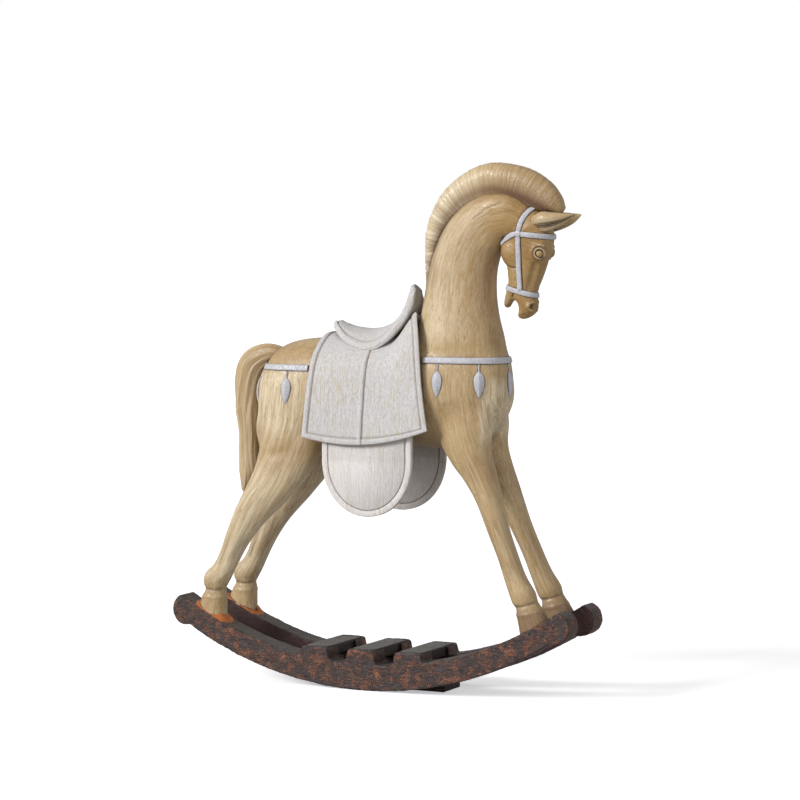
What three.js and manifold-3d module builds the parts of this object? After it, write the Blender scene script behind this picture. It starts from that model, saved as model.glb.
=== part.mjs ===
// A carved rocking horse on two curved rockers. Sizes are in millimetres.
// +X is the way the horse faces, +Y is its left side, +Z is up, and the floor is Z = 0.
import * as THREE from "three";
import { mergeVertices } from "three/addons/utils/BufferGeometryUtils.js";
import Module from "manifold-3d";

const wasm = await Module();
wasm.setup();

// Overall sizes of the carved figure, and the sizes its outlines below are drawn at.
const figureLength = 238;
const figureWidth = 66;
const figureHeight = 430.7;
const drawnLength = 238;
const drawnWidth = 66;
const drawnHeight = 430.7;
const drawnDeck = 22.3;

// Rockers, slats and the stand plate between the rockers.
const rockerDepth = 22.3;
const rockerThickness = 21;
const legSpread = 27.5;
const hoofReach = 155;
const hoofRise = 38.7;
const tailSideReach = 169;
const noseSideReach = 176.5;
const endRise = 0.024;
const slatWidth = 24;
const slatThickness = 9.5;
const slatPitch = 45;
const slatTop = 35.4;
const bumpShoulder = 3;
const cheekThickness = 5;
const plateLength = 116;
const plateOffset = 12;
const plateThickness = 5.2;

// Saddlery: cloth panels, seat, straps and leaf drops.
const blanketHem = 216;
const blanketTop = 306.5;
const clothStandOff = 7.5;
const blanketHalfWidth = drawnWidth / 2 + clothStandOff;
const hemThickness = 4;
const flapThickness = 4;
const flapBottom = 150;
const flapTop = 246;
const clothHollowTop = 250;
const flapHalfLength = 42.5;
const flapCentre = 5;
const strapWidth = 5.6;
const strapThickness = 1.5;
const bridleWidth = 4.6;
const leafThickness = 2;
const leafHalfWidth = 4.4;
const leafLength = 23;
const cordWidth = 1.8;
const cordLength = 6;
const breastStrapHeight = 285.3;
const breechStrapHeight = 276;
const rosetteRadius = 3.8;
const eyeRadius = 3.8;
const seatDrape = 0.03;

// Joints between the carved blocks.
const gap = 0.3;
const frontLegJoint = 198;
const rearLegJoint = 190;
const neckJoint = breastStrapHeight;
const neckJointBack = 46;
const padThickness = 2.2;
const padLip = 1;
const dowelRadius = 4;
const smallDowelRadius = 2.6;
const dowelFit = 0.15;

const lengthScale = figureLength / drawnLength;
const widthScale = figureWidth / drawnWidth;
const heightScale = figureHeight / drawnHeight;
const deckRadius = ((hoofReach * lengthScale) ** 2 + (hoofRise * heightScale) ** 2) /
  (2 * hoofRise * heightScale);
const rockerY = legSpread * widthScale;
const slatLength = 2 * (rockerY + rockerThickness / 2 - cheekThickness);

const oak = { color: 0xbf9f6c, roughness: 0.62, metalness: 0 };
const whitewash = { color: 0xdcd6cd, roughness: 0.7, metalness: 0 };
const charcoal = { color: 0x3a2c26, roughness: 0.6, metalness: 0 };
const copper = { color: 0xb5602a, roughness: 0.5, metalness: 0.2 };
const birch = { color: 0xd8bd8d, roughness: 0.6, metalness: 0 };
const amber = { color: 0xb98f45, roughness: 0.35, metalness: 0.1 };

const part = new THREE.Group();
part.name = "rocking_horse";

/** Turns a closed three.js geometry into a solid that can be joined and cut. */
function solid(geometry) {
  const bare = geometry.clone();
  bare.deleteAttribute("normal");
  bare.deleteAttribute("uv");
  const merged = mergeVertices(bare, 1e-4);
  return new wasm.Manifold(new wasm.Mesh({
    numProp: 3,
    vertProperties: new Float32Array(merged.attributes.position.array),
    triVerts: new Uint32Array(merged.index.array),
  }));
}

/** Adds one solid to the part as a named mesh with its own material. */
function addPiece(name, body, finish) {
  const mesh = body.getMesh();
  const geometry = new THREE.BufferGeometry();
  geometry.setAttribute("position", new THREE.BufferAttribute(new Float32Array(mesh.vertProperties), 3));
  geometry.setIndex(new THREE.BufferAttribute(new Uint32Array(mesh.triVerts), 1));
  geometry.computeVertexNormals();
  const piece = new THREE.Mesh(geometry, new THREE.MeshStandardMaterial(finish));
  piece.name = name;
  part.add(piece);
}

/** Moves a geometry from the drawn figure to the real size of the figure. */
function fitted(geometry) {
  geometry.translate(0, 0, -drawnDeck);
  geometry.scale(lengthScale, widthScale, heightScale);
  geometry.translate(0, 0, rockerDepth);
  return solid(geometry);
}

/**
 * Sweeps an oval along a spine. Each station is [x, y, z, half depth, half width]:
 * the width is across the horse and the depth is square to the spine and the width.
 */
function sweep(stations, extra = 0, around = 16, stepsPerStation = 1) {
  const spine = new THREE.CatmullRomCurve3(stations.map((s) => new THREE.Vector3(s[0], s[1], s[2])));
  const ovals = new THREE.CatmullRomCurve3(
    stations.map((s) => new THREE.Vector3(s[3], s[4], 0)), false, "catmullrom");
  const rings = (stations.length - 1) * stepsPerStation;
  const geometry = new THREE.SphereGeometry(1, around, rings + 2);
  const position = geometry.attributes.position;
  for (let i = 0; i < position.count; i++) {
    const row = Math.floor(i / (around + 1));
    const angle = ((i % (around + 1)) % around) / around * 2 * Math.PI;
    const t = THREE.MathUtils.clamp((row - 1) / rings, 0, 1);
    const reach = row === 0 || row === rings + 2 ? 0 : 1;
    const tangent = spine.getTangent(t);
    const side = new THREE.Vector3(0, 1, 0).addScaledVector(tangent, -tangent.y).normalize();
    const depth = new THREE.Vector3().crossVectors(tangent, side);
    const oval = ovals.getPoint(t);
    const point = spine.getPoint(t);
    point.addScaledVector(tangent, t === 0 ? -extra : t === 1 ? extra : 0);
    point.addScaledVector(depth, reach * (oval.x + extra) * Math.cos(angle));
    point.addScaledVector(side, reach * (oval.y + extra) * Math.sin(angle));
    position.setXYZ(i, point.x, point.y, point.z);
  }
  return geometry;
}

/** A box given by its lowest and highest corners in the drawn figure. */
function block(x0, x1, y0, y1, z0, z1) {
  const geometry = new THREE.BoxGeometry(x1 - x0, y1 - y0, z1 - z0);
  geometry.translate((x0 + x1) / 2, (y0 + y1) / 2, (z0 + z1) / 2);
  return fitted(geometry);
}

/** A plate cut to a shape drawn in X and Z, running from y0 to y1 across the horse. */
function sidePlate(shape, y0, y1, curveSegments = 12) {
  const geometry = new THREE.ExtrudeGeometry(shape, { depth: y1 - y0, bevelEnabled: false, curveSegments });
  geometry.rotateX(Math.PI / 2);
  geometry.translate(0, y1, 0);
  return geometry;
}

/** A straight band in X and Z between two points, as wide as asked, from y0 to y1. */
function bandBetween(from, to, width, y0, y1) {
  const run = Math.hypot(to[0] - from[0], to[1] - from[1]);
  const geometry = new THREE.BoxGeometry(run, y1 - y0, width);
  geometry.rotateY(-Math.atan2(to[1] - from[1], to[0] - from[0]));
  geometry.translate((from[0] + to[0]) / 2, (y0 + y1) / 2, (from[1] + to[1]) / 2);
  return fitted(geometry);
}

/** A round dowel between two points, and the slightly wider hole it sits in. */
function dowel(from, to, radius, extra = 0) {
  const start = new THREE.Vector3(...from);
  const end = new THREE.Vector3(...to);
  const along = new THREE.Vector3().subVectors(end, start);
  const geometry = new THREE.CylinderGeometry(radius + extra, radius + extra, along.length() + 2 * extra, 14);
  const turn = new THREE.Quaternion().setFromUnitVectors(new THREE.Vector3(0, 1, 0), along.clone().normalize());
  geometry.applyQuaternion(turn);
  geometry.translate((start.x + end.x) / 2, (start.y + end.y) / 2, (start.z + end.z) / 2);
  return solid(geometry);
}

/** The real position of a point drawn on the figure. */
function placed(x, y, z) {
  return [x * lengthScale, y * widthScale, rockerDepth + (z - drawnDeck) * heightScale];
}

const torsoStations = [
  [-114.5, 0, 243, 5, 4],
  [-112.5, 0, 243, 18, 13],
  [-107, 0, 243, 33, 22.5],
  [-96, 0, 243.5, 45, 30],
  [-76, 0, 247, 51, 34],
  [-48, 0, 251, 49, 33.5],
  [-14, 0, 253, 45, 32],
  [26, 0, 256, 46, 32],
  [60, 0, 259, 51, 33],
  [86, 0, 263, 51, 32],
  [104, 0, 264, 46, 27],
  [116, 0, 264, 34, 20],
  [121.5, 0, 264, 19, 12],
  [123.5, 0, 264, 6, 4],
];
const neckStations = [
  [77, 0, 268, 44, 29],
  [77, 0, 299, 40.5, 28],
  [77, 0, 322, 35, 25],
  [78, 0, 345, 31.5, 22],
  [81.5, 0, 367, 29.5, 20],
  [90, 0, 388, 27.5, 18.5],
  [104, 0, 403, 25, 17.5],
  [121, 0, 408, 22.5, 16.5],
  [137, 0, 402, 18, 15],
];
const headStations = [
  [142, 0, 415, 9, 8],
  [142, 0, 405, 17.5, 13.5],
  [142, 0, 389, 22.5, 15.5],
  [141, 0, 371, 20.5, 14.5],
  [136.5, 0, 352, 16.5, 11.8],
  [134, 0, 340, 13.8, 10.6],
  [136.5, 0, 331, 12, 10.4],
  [137.5, 0, 324, 8, 8],
  [136.5, 0, 320.5, 3, 4],
];
const jawStations = [
  [131, 0, 356, 9, 8],
  [126, 0, 342, 7, 7],
  [122, 0, 333, 4.5, 6.5],
  [121.5, 0, 327.5, 2.5, 4],
];
const rearLegStations = [
  [-68, 14, 257, 24, 14],
  [-72, 17, 230, 31, 15],
  [-80, 19, 201, 28, 15],
  [-93, 21, 176, 21, 14],
  [-113, 24, 148, 15, 12],
  [-125, 26, 127, 11.3, 10.5],
  [-134, 27, 108, 9.4, 9.4],
  [-141, 27.5, 95, 9.8, 9.3],
  [-147, 27.5, 85.5, 12, 10],
  [-147, 27.5, 78.5, 9.8, 8.8],
  [-147.5, 27.5, 72, 11.2, 9.5],
  [-149, 27.5, 58, 15.8, 10.2],
  [-149.5, 27.5, 44, 16.5, 10.2],
];
const frontLegStations = [
  [84, 14, 257, 22, 14],
  [88, 17, 231, 27, 14.5],
  [94, 17.5, 209, 20.5, 14.5],
  [103.5, 18.5, 190, 14.8, 13],
  [113, 20.5, 170, 11.4, 11.5],
  [123.2, 23.5, 144, 9.2, 10],
  [132.8, 25.5, 122, 8.5, 9.2],
  [141.2, 27, 102, 9.2, 9.2],
  [148.5, 27.5, 88, 10.8, 10],
  [151.5, 27.5, 82, 9.8, 8.9],
  [154, 27.5, 75, 11.6, 9.6],
  [160, 27.5, 60, 14.6, 10.2],
  [163, 27.5, 46, 15, 10.2],
];
const maneStations = [
  [46, 0, 334, 2.5, 3],
  [48.5, 0, 352, 4.5, 5.5],
  [50, 0, 372, 6.5, 7.5],
  [56, 0, 396, 10, 9.5],
  [73, 0, 419, 14, 11],
  [101, 0, 434, 17, 12],
  [129, 0, 433, 17, 12],
  [149, 0, 425, 15.5, 11],
  [162, 0, 417, 11, 9],
  [170, 0, 411, 5, 5],
];
const tailStations = [
  [-88, 0, 281, 6.5, 6],
  [-101, 0, 286.5, 7.5, 7.5],
  [-114, 0, 285, 9.5, 9],
  [-125, 0, 277, 11.5, 10.5],
  [-129.5, 0, 262, 12, 11],
  [-129.5, 0, 240, 11.5, 11],
  [-128, 0, 218, 10, 10],
  [-130, 0, 197, 9, 9],
  [-135, 0, 178, 7, 7.5],
  [-140, 0, 163, 4.5, 5],
  [-144, 0, 152, 1.5, 2],
];
const seatStations = [
  [-42, 0, 315, 1.2, 6],
  [-37, 0, 311, 3.5, 12],
  [-24, 0, 306.5, 5, 19],
  [-4, 0, 305.5, 5.5, 22.5],
  [13, 0, 309.5, 6, 21],
  [26, 0, 319, 6, 16.5],
  [32.5, 0, 331, 5, 12],
  [34, 0, 342, 3.2, 7.5],
  [33, 0, 348, 1, 3],
];
const earStations = [
  [150, 10, 402.5, 5.5, 5],
  [162, 10.5, 403.5, 6, 5],
  [173, 9.5, 405, 4.4, 3.6],
  [182, 8, 407.5, 0.8, 0.8],
];

/** Stations of a piece on one side of the horse. */
function onSide(stations, side) {
  return stations.map((s) => [s[0], s[1] * side, s[2], s[3], s[4]]);
}

/** The whole carved figure, grown outward by the given amount. */
function figure(extra) {
  let body = fitted(sweep(torsoStations, extra, 24));
  for (const stations of [neckStations, headStations, jawStations]) {
    body = body.add(fitted(sweep(stations, extra, 16)));
  }
  for (const side of [-1, 1]) {
    body = body.add(fitted(sweep(onSide(rearLegStations, side), extra, 12)));
    body = body.add(fitted(sweep(onSide(frontLegStations, side), extra, 12)));
  }
  return body;
}

const body = figure(0);
const bodyWithGap = figure(gap);
const strapSkin = figure(strapThickness + gap).subtract(bodyWithGap);
const leafSkin = figure(leafThickness + gap).subtract(bodyWithGap);

/** The outline of the saddle cloth seen from the side, grown by the given amount. */
function clothFootprint(extra) {
  const outline = new THREE.Shape();
  outline.moveTo(-57.5 - extra, 190);
  outline.lineTo(67.5 + extra, 190);
  outline.lineTo(52 + extra, 330);
  outline.lineTo(-45.5 - extra, 330);
  return fitted(sidePlate(outline, -60, 60));
}

/** The saddle cloth as a full arch from hem to hem, before it is hollowed. */
function clothArch(extra) {
  const half = blanketHalfWidth + extra;
  const top = blanketTop + extra;
  const arch = new THREE.Shape();
  arch.moveTo(-half, blanketHem);
  arch.lineTo(half, blanketHem);
  arch.bezierCurveTo(half - 2, 262, half - 3, 281, half - 13, 292);
  arch.bezierCurveTo(half - 21, 301, 12, top, 0, top);
  arch.bezierCurveTo(-12, top, 21 - half, 301, 13 - half, 292);
  arch.bezierCurveTo(3 - half, 281, 2 - half, 262, -half, blanketHem);
  const geometry = new THREE.ExtrudeGeometry(arch, { depth: 160, bevelEnabled: false, curveSegments: 8 });
  geometry.rotateX(Math.PI / 2);
  geometry.rotateZ(Math.PI / 2);
  geometry.translate(-80, 0, 0);
  return fitted(geometry);
}

/** A leaf on a short cord, hanging from the strap at x = 0 and drawn in X and Z. */
function leafShape(top) {
  const shape = new THREE.Shape();
  const half = cordWidth / 2;
  const shoulder = top - cordLength;
  const tip = shoulder - leafLength;
  shape.moveTo(-half, top);
  shape.lineTo(-half, shoulder);
  shape.bezierCurveTo(-leafHalfWidth, shoulder - 4, -leafHalfWidth - 1, shoulder - 11, -0.6, tip);
  shape.lineTo(0.6, tip);
  shape.bezierCurveTo(leafHalfWidth + 1, shoulder - 11, leafHalfWidth, shoulder - 4, half, shoulder);
  shape.lineTo(half, top);
  return shape;
}

/** A leaf drop lying on the body, reached from the spine in the direction of the given turn. */
function leafDrop(x, strapHeight, turn) {
  const geometry = sidePlate(leafShape(strapHeight - strapWidth / 2 - gap), -60, 0, 5);
  geometry.rotateZ(turn);
  geometry.translate(x, 0, 0);
  return leafSkin.intersect(fitted(geometry));
}

/** The nose side of the seam that runs from the throat to the poll, set back by the given amount. */
function headFootprint(extra) {
  const outline = new THREE.Shape();
  outline.moveTo(121.5 - extra, 387 + extra);
  outline.lineTo(180 - extra, 442.5 + extra);
  outline.lineTo(240, 442.5 + extra);
  outline.lineTo(240, 312);
  outline.lineTo(116.5 - extra, 312);
  outline.lineTo(116.5 - extra, 366);
  outline.lineTo(119.6 - extra, 381);
  return fitted(sidePlate(outline, -60, 60));
}

/** A piece bent down towards its sides, so that it lies over a rounded back. */
function draped(geometry, amount) {
  const position = geometry.attributes.position;
  for (let i = 0; i < position.count; i++) {
    position.setZ(i, position.getZ(i) - amount * position.getY(i) ** 2);
  }
  return geometry;
}

/** The rounded outline of a skirt flap, drawn in X and Z. */
function flapShape() {
  const shape = new THREE.Shape();
  const bend = flapBottom + 0.72 * flapHalfLength;
  shape.moveTo(flapCentre - flapHalfLength, flapTop);
  shape.lineTo(flapCentre - flapHalfLength, bend + 18);
  shape.bezierCurveTo(flapCentre - flapHalfLength, bend - 12, flapCentre - 22, flapBottom, flapCentre, flapBottom);
  shape.bezierCurveTo(flapCentre + 22, flapBottom, flapCentre + flapHalfLength, bend - 12,
    flapCentre + flapHalfLength, bend + 18);
  shape.lineTo(flapCentre + flapHalfLength, flapTop);
  return shape;
}

/** Everything under the rockers' top curve, raised by the given amount. */
function raisedDeck(amount) {
  const outline = new THREE.Shape();
  outline.absarc(0, rockerDepth + deckRadius + amount, deckRadius, Math.PI * 1.25, Math.PI * 1.75, false);
  outline.lineTo(300 * lengthScale, -200);
  outline.lineTo(-300 * lengthScale, -200);
  return solid(sidePlate(outline, -100 * widthScale, 100 * widthScale, 54));
}

/** One rocker: a curved runner with three bumps that hold the slats. */
function rocker(side) {
  const floorRadius = deckRadius - 0.7;
  const deckHeight = rockerDepth + deckRadius;
  const noseAngle = Math.asin(noseSideReach * lengthScale / floorRadius);
  const tailAngle = Math.asin(tailSideReach * lengthScale / floorRadius);
  const down = -Math.PI / 2;
  const roundEnd = (from, to) => {
    const start = Math.atan2(from.y - to.y, from.x - to.x);
    outline.absarc((from.x + to.x) / 2, (from.y + to.y) / 2, from.distanceTo(to) / 2, start, start + Math.PI, false);
  };
  const onArc = (angle, radius, height) =>
    new THREE.Vector2(radius * Math.sin(angle), height - radius * Math.cos(angle));
  const outline = new THREE.Shape();
  const [noseTop, tailTop] = [noseAngle + endRise, tailAngle + endRise];
  outline.absarc(0, floorRadius, floorRadius, down - tailAngle, down + noseAngle, false);
  roundEnd(onArc(noseAngle, floorRadius, floorRadius), onArc(noseTop, deckRadius, deckHeight));
  outline.absarc(0, deckHeight, deckRadius, down + noseTop, down - tailTop, true);
  roundEnd(onArc(-tailTop, deckRadius, deckHeight), onArc(-tailAngle, floorRadius, floorRadius));
  const outerFace = rockerY + rockerThickness / 2;
  const innerFace = rockerY - rockerThickness / 2;
  const [y0, y1] = side > 0 ? [innerFace, outerFace] : [-outerFace, -innerFace];
  let runner = solid(sidePlate(outline, y0, y1, 22));
  for (const place of [-1, 0, 1]) {
    const centre = place * slatPitch;
    const foot = slatWidth / 2 + bumpShoulder;
    const crown = slatWidth / 2 - 1;
    const bump = new THREE.Shape();
    bump.moveTo(centre - foot, rockerDepth / 2);
    bump.lineTo(centre + foot, rockerDepth / 2);
    bump.lineTo(centre + foot - 1, rockerDepth + 3);
    bump.bezierCurveTo(centre + foot - 2, slatTop, centre + foot - 2, slatTop, centre + crown - 4, slatTop);
    bump.lineTo(centre - crown + 4, slatTop);
    bump.bezierCurveTo(centre - foot + 2, slatTop, centre - foot + 2, slatTop, centre - foot + 1, rockerDepth + 3);
    runner = runner.add(solid(sidePlate(bump, y0, y1, 6)));
  }
  return runner;
}

/** One cross slat, let into the bumps of both rockers. */
function slat(place, extra) {
  const geometry = new THREE.BoxGeometry(slatWidth - 2 + 2 * extra, slatLength + 2 * extra, slatThickness + 2 * extra);
  geometry.translate(place * slatPitch, 0, slatTop - slatThickness / 2);
  return solid(geometry);
}

// Dowels between the carved blocks, each with its two end points.
const dowels = {
  neck_dowel_front: [placed(100, 0, neckJoint - 15), placed(100, 0, neckJoint + 15), dowelRadius],
  neck_dowel_rear: [placed(64, 0, neckJoint - 15), placed(64, 0, neckJoint + 15), dowelRadius],
  head_dowel: [placed(128.8, 0, 406.7), placed(145.2, 0, 389.3), smallDowelRadius],
  tail_peg: [placed(-111, 0, 285.5), placed(-84, 0, 276), smallDowelRadius],
  saddle_peg: [placed(-2, 0, 283), placed(-2, 0, 306.5), smallDowelRadius],
};
for (const [sideName, side] of [["right", -1], ["left", 1]]) {
  dowels[`front_leg_dowel_${sideName}`] = [
    placed(101, 19.5 * side, frontLegJoint - 14), placed(97, 19.5 * side, frontLegJoint + 14), dowelRadius];
  dowels[`rear_leg_dowel_${sideName}`] = [
    placed(-86, 20 * side, rearLegJoint - 14), placed(-82, 20 * side, rearLegJoint + 14), dowelRadius];
  dowels[`front_hoof_dowel_${sideName}`] = [
    placed(160, legSpread * side, 48), placed(156, legSpread * side, 76), smallDowelRadius];
  dowels[`rear_hoof_dowel_${sideName}`] = [
    placed(-149, legSpread * side, 43), placed(-148, legSpread * side, 73), smallDowelRadius];
}
let dowelHoles = null;
for (const [name, [from, to, radius]] of Object.entries(dowels)) {
  const hole = dowel(from, to, radius, dowelFit);
  dowelHoles = dowelHoles === null ? hole : dowelHoles.add(hole);
  addPiece(name, dowel(from, to, radius), birch);
}

// Rockers, slats and stand plate.
const slatSlots = [-1, 0, 1].map((place) => slat(place, gap));
for (const [sideName, side] of [["right", -1], ["left", 1]]) {
  let runner = rocker(side);
  for (const slot of slatSlots) {
    runner = runner.subtract(slot);
  }
  addPiece(`rocker_${sideName}`, runner.subtract(dowelHoles), charcoal);
}
for (const [name, place] of [["slat_rear", -1], ["slat_middle", 0], ["slat_front", 1]]) {
  addPiece(name, slat(place, 0), charcoal);
}
const plateWidth = 2 * (rockerY - rockerThickness / 2 - gap);
const plate = new THREE.BoxGeometry(plateLength * lengthScale, plateWidth, plateThickness);
plate.translate(plateOffset * lengthScale, 0, plateThickness / 2);
addPiece("stand_plate", solid(plate), charcoal);

// The carved blocks: trunk, neck, head and four legs, sawn apart along flat joints.
const carved = body.subtract(dowelHoles);
const headBlock = headFootprint(0);
const aboveNeckJoint = block(neckJointBack, 260, -90, 90, neckJoint, 520);
const sawnOff = block(neckJointBack - gap, 260, -90, 90, neckJoint - gap, 520)
  .add(block(0, 260, -90, 90, -40, frontLegJoint + gap))
  .add(block(-260, 0, -90, 90, -40, rearLegJoint + gap));
addPiece("trunk", carved.subtract(sawnOff), oak);
addPiece("neck", carved.intersect(aboveNeckJoint).subtract(headFootprint(gap)), oak);
addPiece("head", carved.intersect(headBlock), oak);
for (const [sideName, side] of [["right", -1], ["left", 1]]) {
  const [y0, y1] = side > 0 ? [0, 90] : [-90, 0];
  const frontLeg = carved.intersect(block(0, 260, y0, y1, -40, frontLegJoint));
  const rearLeg = carved.intersect(block(-260, 0, y0, y1, -40, rearLegJoint));
  const hoofEdge = fitted(sweep(onSide(rearLegStations.slice(-3), side), padLip, 12));
  const pad = hoofEdge.intersect(raisedDeck(padThickness + gap)).subtract(raisedDeck(gap));
  addPiece(`front_leg_${sideName}`, frontLeg.subtract(raisedDeck(gap)), oak);
  addPiece(`rear_leg_${sideName}`, rearLeg.subtract(raisedDeck(padThickness + 2 * gap)), oak);
  addPiece(`hoof_pad_${sideName}`, pad.subtract(dowelHoles), copper);
}

/** The stretch across the horse that belongs to one side's straps. */
function besideSpine(side) {
  return side > 0 ? [3, 40] : [-40, -3];
}

/** The path of one cheek strap, from the noseband up past the crossing to the poll. */
function cheekBand(side, extra) {
  const width = bridleWidth + 2 * extra;
  return bandBetween([138, 346], crossing, width, ...besideSpine(side))
    .add(bandBetween(crossing, [158, 419], width, ...besideSpine(side)));
}

// Mane, tail, ears and eyes.
const crossing = [137, 392.5];
const overStraps = figure(strapThickness + 2 * gap);
const mane = fitted(sweep(maneStations, 0, 14)).subtract(bodyWithGap);
const maneWithGap = fitted(sweep(maneStations, gap, 14));
const breechBand = block(-150, 0, -60, 60, breechStrapHeight - strapWidth / 2 - gap,
  breechStrapHeight + strapWidth / 2 + gap);
const strapRoom = overStraps.intersect(breechBand);
addPiece("mane", mane, oak);
addPiece("tail", fitted(sweep(tailStations, 0, 12)).subtract(bodyWithGap).subtract(strapRoom)
  .subtract(dowelHoles), oak);
for (const [sideName, side] of [["right", -1], ["left", 1]]) {
  const ear = fitted(sweep(onSide(earStations, side), 0, 10, 2)).subtract(bodyWithGap).subtract(maneWithGap)
    .subtract(cheekBand(side, gap).intersect(overStraps));
  const eyeball = new THREE.SphereGeometry(eyeRadius, 12, 8);
  eyeball.translate(154.5, 12 * side, 376);
  addPiece(`ear_${sideName}`, ear, oak);
  addPiece(`eye_${sideName}`, fitted(eyeball).subtract(bodyWithGap), amber);
}

// Saddle cloth, seat and skirt flaps.
const flapOuter = blanketHalfWidth - hemThickness - gap;
const flapRoom = block(-90, 90, -flapOuter - gap, flapOuter + gap, 0, clothHollowTop);
const cloth = clothArch(0).intersect(clothFootprint(0)).subtract(flapRoom).subtract(bodyWithGap);
addPiece("saddle_cloth", cloth.subtract(dowelHoles), whitewash);
const seat = fitted(draped(sweep(seatStations, 0, 16), seatDrape));
addPiece("saddle_seat", seat.subtract(clothArch(gap)).subtract(bodyWithGap).subtract(dowelHoles), whitewash);
for (const [sideName, side] of [["right", -1], ["left", 1]]) {
  const [y0, y1] = side > 0 ? [flapOuter - flapThickness, flapOuter] : [-flapOuter, flapThickness - flapOuter];
  const flap = fitted(sidePlate(flapShape(), y0, y1, 10)).subtract(bodyWithGap);
  addPiece(`skirt_flap_${sideName}`, flap, whitewash);
}

// Straps round the chest and rump, each with its leaf drops.
const clothRoom = clothFootprint(gap);
const breastBand = block(30, 150, -60, 60, breastStrapHeight - strapWidth / 2, breastStrapHeight + strapWidth / 2);
const rumpBand = block(-150, -30, -60, 60, breechStrapHeight - strapWidth / 2, breechStrapHeight + strapWidth / 2);
addPiece("breast_strap", strapSkin.intersect(breastBand).subtract(clothRoom), whitewash);
addPiece("breeching_strap", strapSkin.intersect(rumpBand).subtract(clothRoom), whitewash);
addPiece("breast_leaf_centre", leafDrop(80, breastStrapHeight, Math.PI / 2), whitewash);
for (const [sideName, side] of [["right", -1], ["left", 1]]) {
  const turned = (turn) => (side < 0 ? turn : Math.PI - turn);
  addPiece(`breast_leaf_front_${sideName}`, leafDrop(98, breastStrapHeight, turned(0.3)), whitewash);
  addPiece(`breast_leaf_rear_${sideName}`, leafDrop(70, breastStrapHeight, turned(0)), whitewash);
  addPiece(`rump_leaf_front_${sideName}`, leafDrop(-74, breechStrapHeight, turned(0)), whitewash);
  addPiece(`rump_leaf_rear_${sideName}`, leafDrop(-90, breechStrapHeight, turned(-0.85)), whitewash);
}

// Bridle: noseband, browband, cheek straps, throat lashes and rosettes.
const noseband = (extra) => bandBetween([113, 349.5], [154, 339], bridleWidth + 2 * extra, -40, 40);
addPiece("noseband", strapSkin.intersect(noseband(0)), whitewash);
const browBand = bandBetween([crossing[0] + bridleWidth / 2 + gap, 392], [176, 388.5], bridleWidth, -40, 40);
addPiece("browband", strapSkin.intersect(browBand).subtract(cheekBand(-1, gap)).subtract(cheekBand(1, gap)),
  whitewash);
for (const [sideName, side] of [["right", -1], ["left", 1]]) {
  const throatBand = bandBetween([115, 380.5], crossing, bridleWidth, ...besideSpine(side));
  const rosette = new THREE.CylinderGeometry(rosetteRadius, rosetteRadius, 11, 18);
  rosette.translate(crossing[0], 14 * side, crossing[1]);
  addPiece(`cheek_strap_${sideName}`, strapSkin.intersect(cheekBand(side, 0)).subtract(noseband(gap))
    .subtract(maneWithGap), whitewash);
  addPiece(`throat_lash_${sideName}`, strapSkin.intersect(throatBand).subtract(cheekBand(side, gap)), whitewash);
  addPiece(`rosette_${sideName}`, fitted(rosette).subtract(overStraps), whitewash);
}

export default part;
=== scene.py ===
"""A carved and painted wooden rocking horse on two curved runners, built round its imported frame."""

import logging
import math
from dataclasses import dataclass, field
from enum import Enum
from typing import Callable, Optional, Sequence

import bmesh
import bpy
import numpy as np
from mathutils import Matrix, Vector, noise
from mathutils.bvhtree import BVHTree


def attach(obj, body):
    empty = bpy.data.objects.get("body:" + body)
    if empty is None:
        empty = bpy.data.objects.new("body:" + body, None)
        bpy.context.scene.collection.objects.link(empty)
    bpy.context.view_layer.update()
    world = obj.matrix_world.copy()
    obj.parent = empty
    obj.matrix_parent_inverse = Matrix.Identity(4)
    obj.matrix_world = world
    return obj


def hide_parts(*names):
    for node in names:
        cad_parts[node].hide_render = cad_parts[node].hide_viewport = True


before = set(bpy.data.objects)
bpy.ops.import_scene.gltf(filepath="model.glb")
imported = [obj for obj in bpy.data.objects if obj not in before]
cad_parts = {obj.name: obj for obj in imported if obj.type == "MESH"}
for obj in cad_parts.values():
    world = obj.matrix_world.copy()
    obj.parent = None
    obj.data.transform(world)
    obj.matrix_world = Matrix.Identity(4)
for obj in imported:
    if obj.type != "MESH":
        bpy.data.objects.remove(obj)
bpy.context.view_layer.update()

log = logging.getLogger("rocking_horse")
MM = 0.001
Stations = tuple[tuple[float, float, float, float, float], ...]
Ring = Sequence[tuple[float, float]]
Drawn = tuple[tuple[float, float], ...]
Lines = tuple[tuple[Drawn, float, float, float], ...]  # points, width, height, darkness of the fold as glaze and painted shade
Hit = tuple[Vector, Vector]
Colour = tuple[float, float, float, float]
Mesh, Object, BM = bpy.types.Mesh, bpy.types.Object, bmesh.types.BMesh
Node, Socket, Tree = bpy.types.Node, bpy.types.NodeSocket, bpy.types.NodeTree


class Side(Enum):
    """The two sides of the horse. Right is the side towards -Y."""

    RIGHT = -1
    LEFT = 1

    @property
    def word(self) -> str:
        """The side's word, as it ends the names of pieces."""
        return self.name.lower()


# ---------------------------------------------------------------- mesh helpers


def spaced_path(stations: Stations, steps: int) -> np.ndarray:
    """Runs a smooth curve through the stations of a limb.

    Args:
        stations: x, y, z, half depth and half width of each section, in millimetres.
        steps: how many sections to make between two stations.

    Returns:
        One row for each section, with the same five columns.
    """
    p = np.asarray(stations, float)
    ends = np.vstack([2 * p[0] - p[1], p, 2 * p[-1] - p[-2]])
    rows = []
    for a, b, c, d in zip(ends, ends[1:], ends[2:], ends[3:]):
        for t in np.linspace(0, 1, steps, endpoint=False):
            bend = (2 * a - 5 * b + 4 * c - d) * t * t + (3 * b - a - 3 * c + d) * t ** 3
            rows.append(0.5 * (2 * b + (c - a) * t + bend))
    path = np.array(rows + [p[-1]])
    path[:, 3:] = np.maximum(path[:, 3:], 0.25)
    return path


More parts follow.
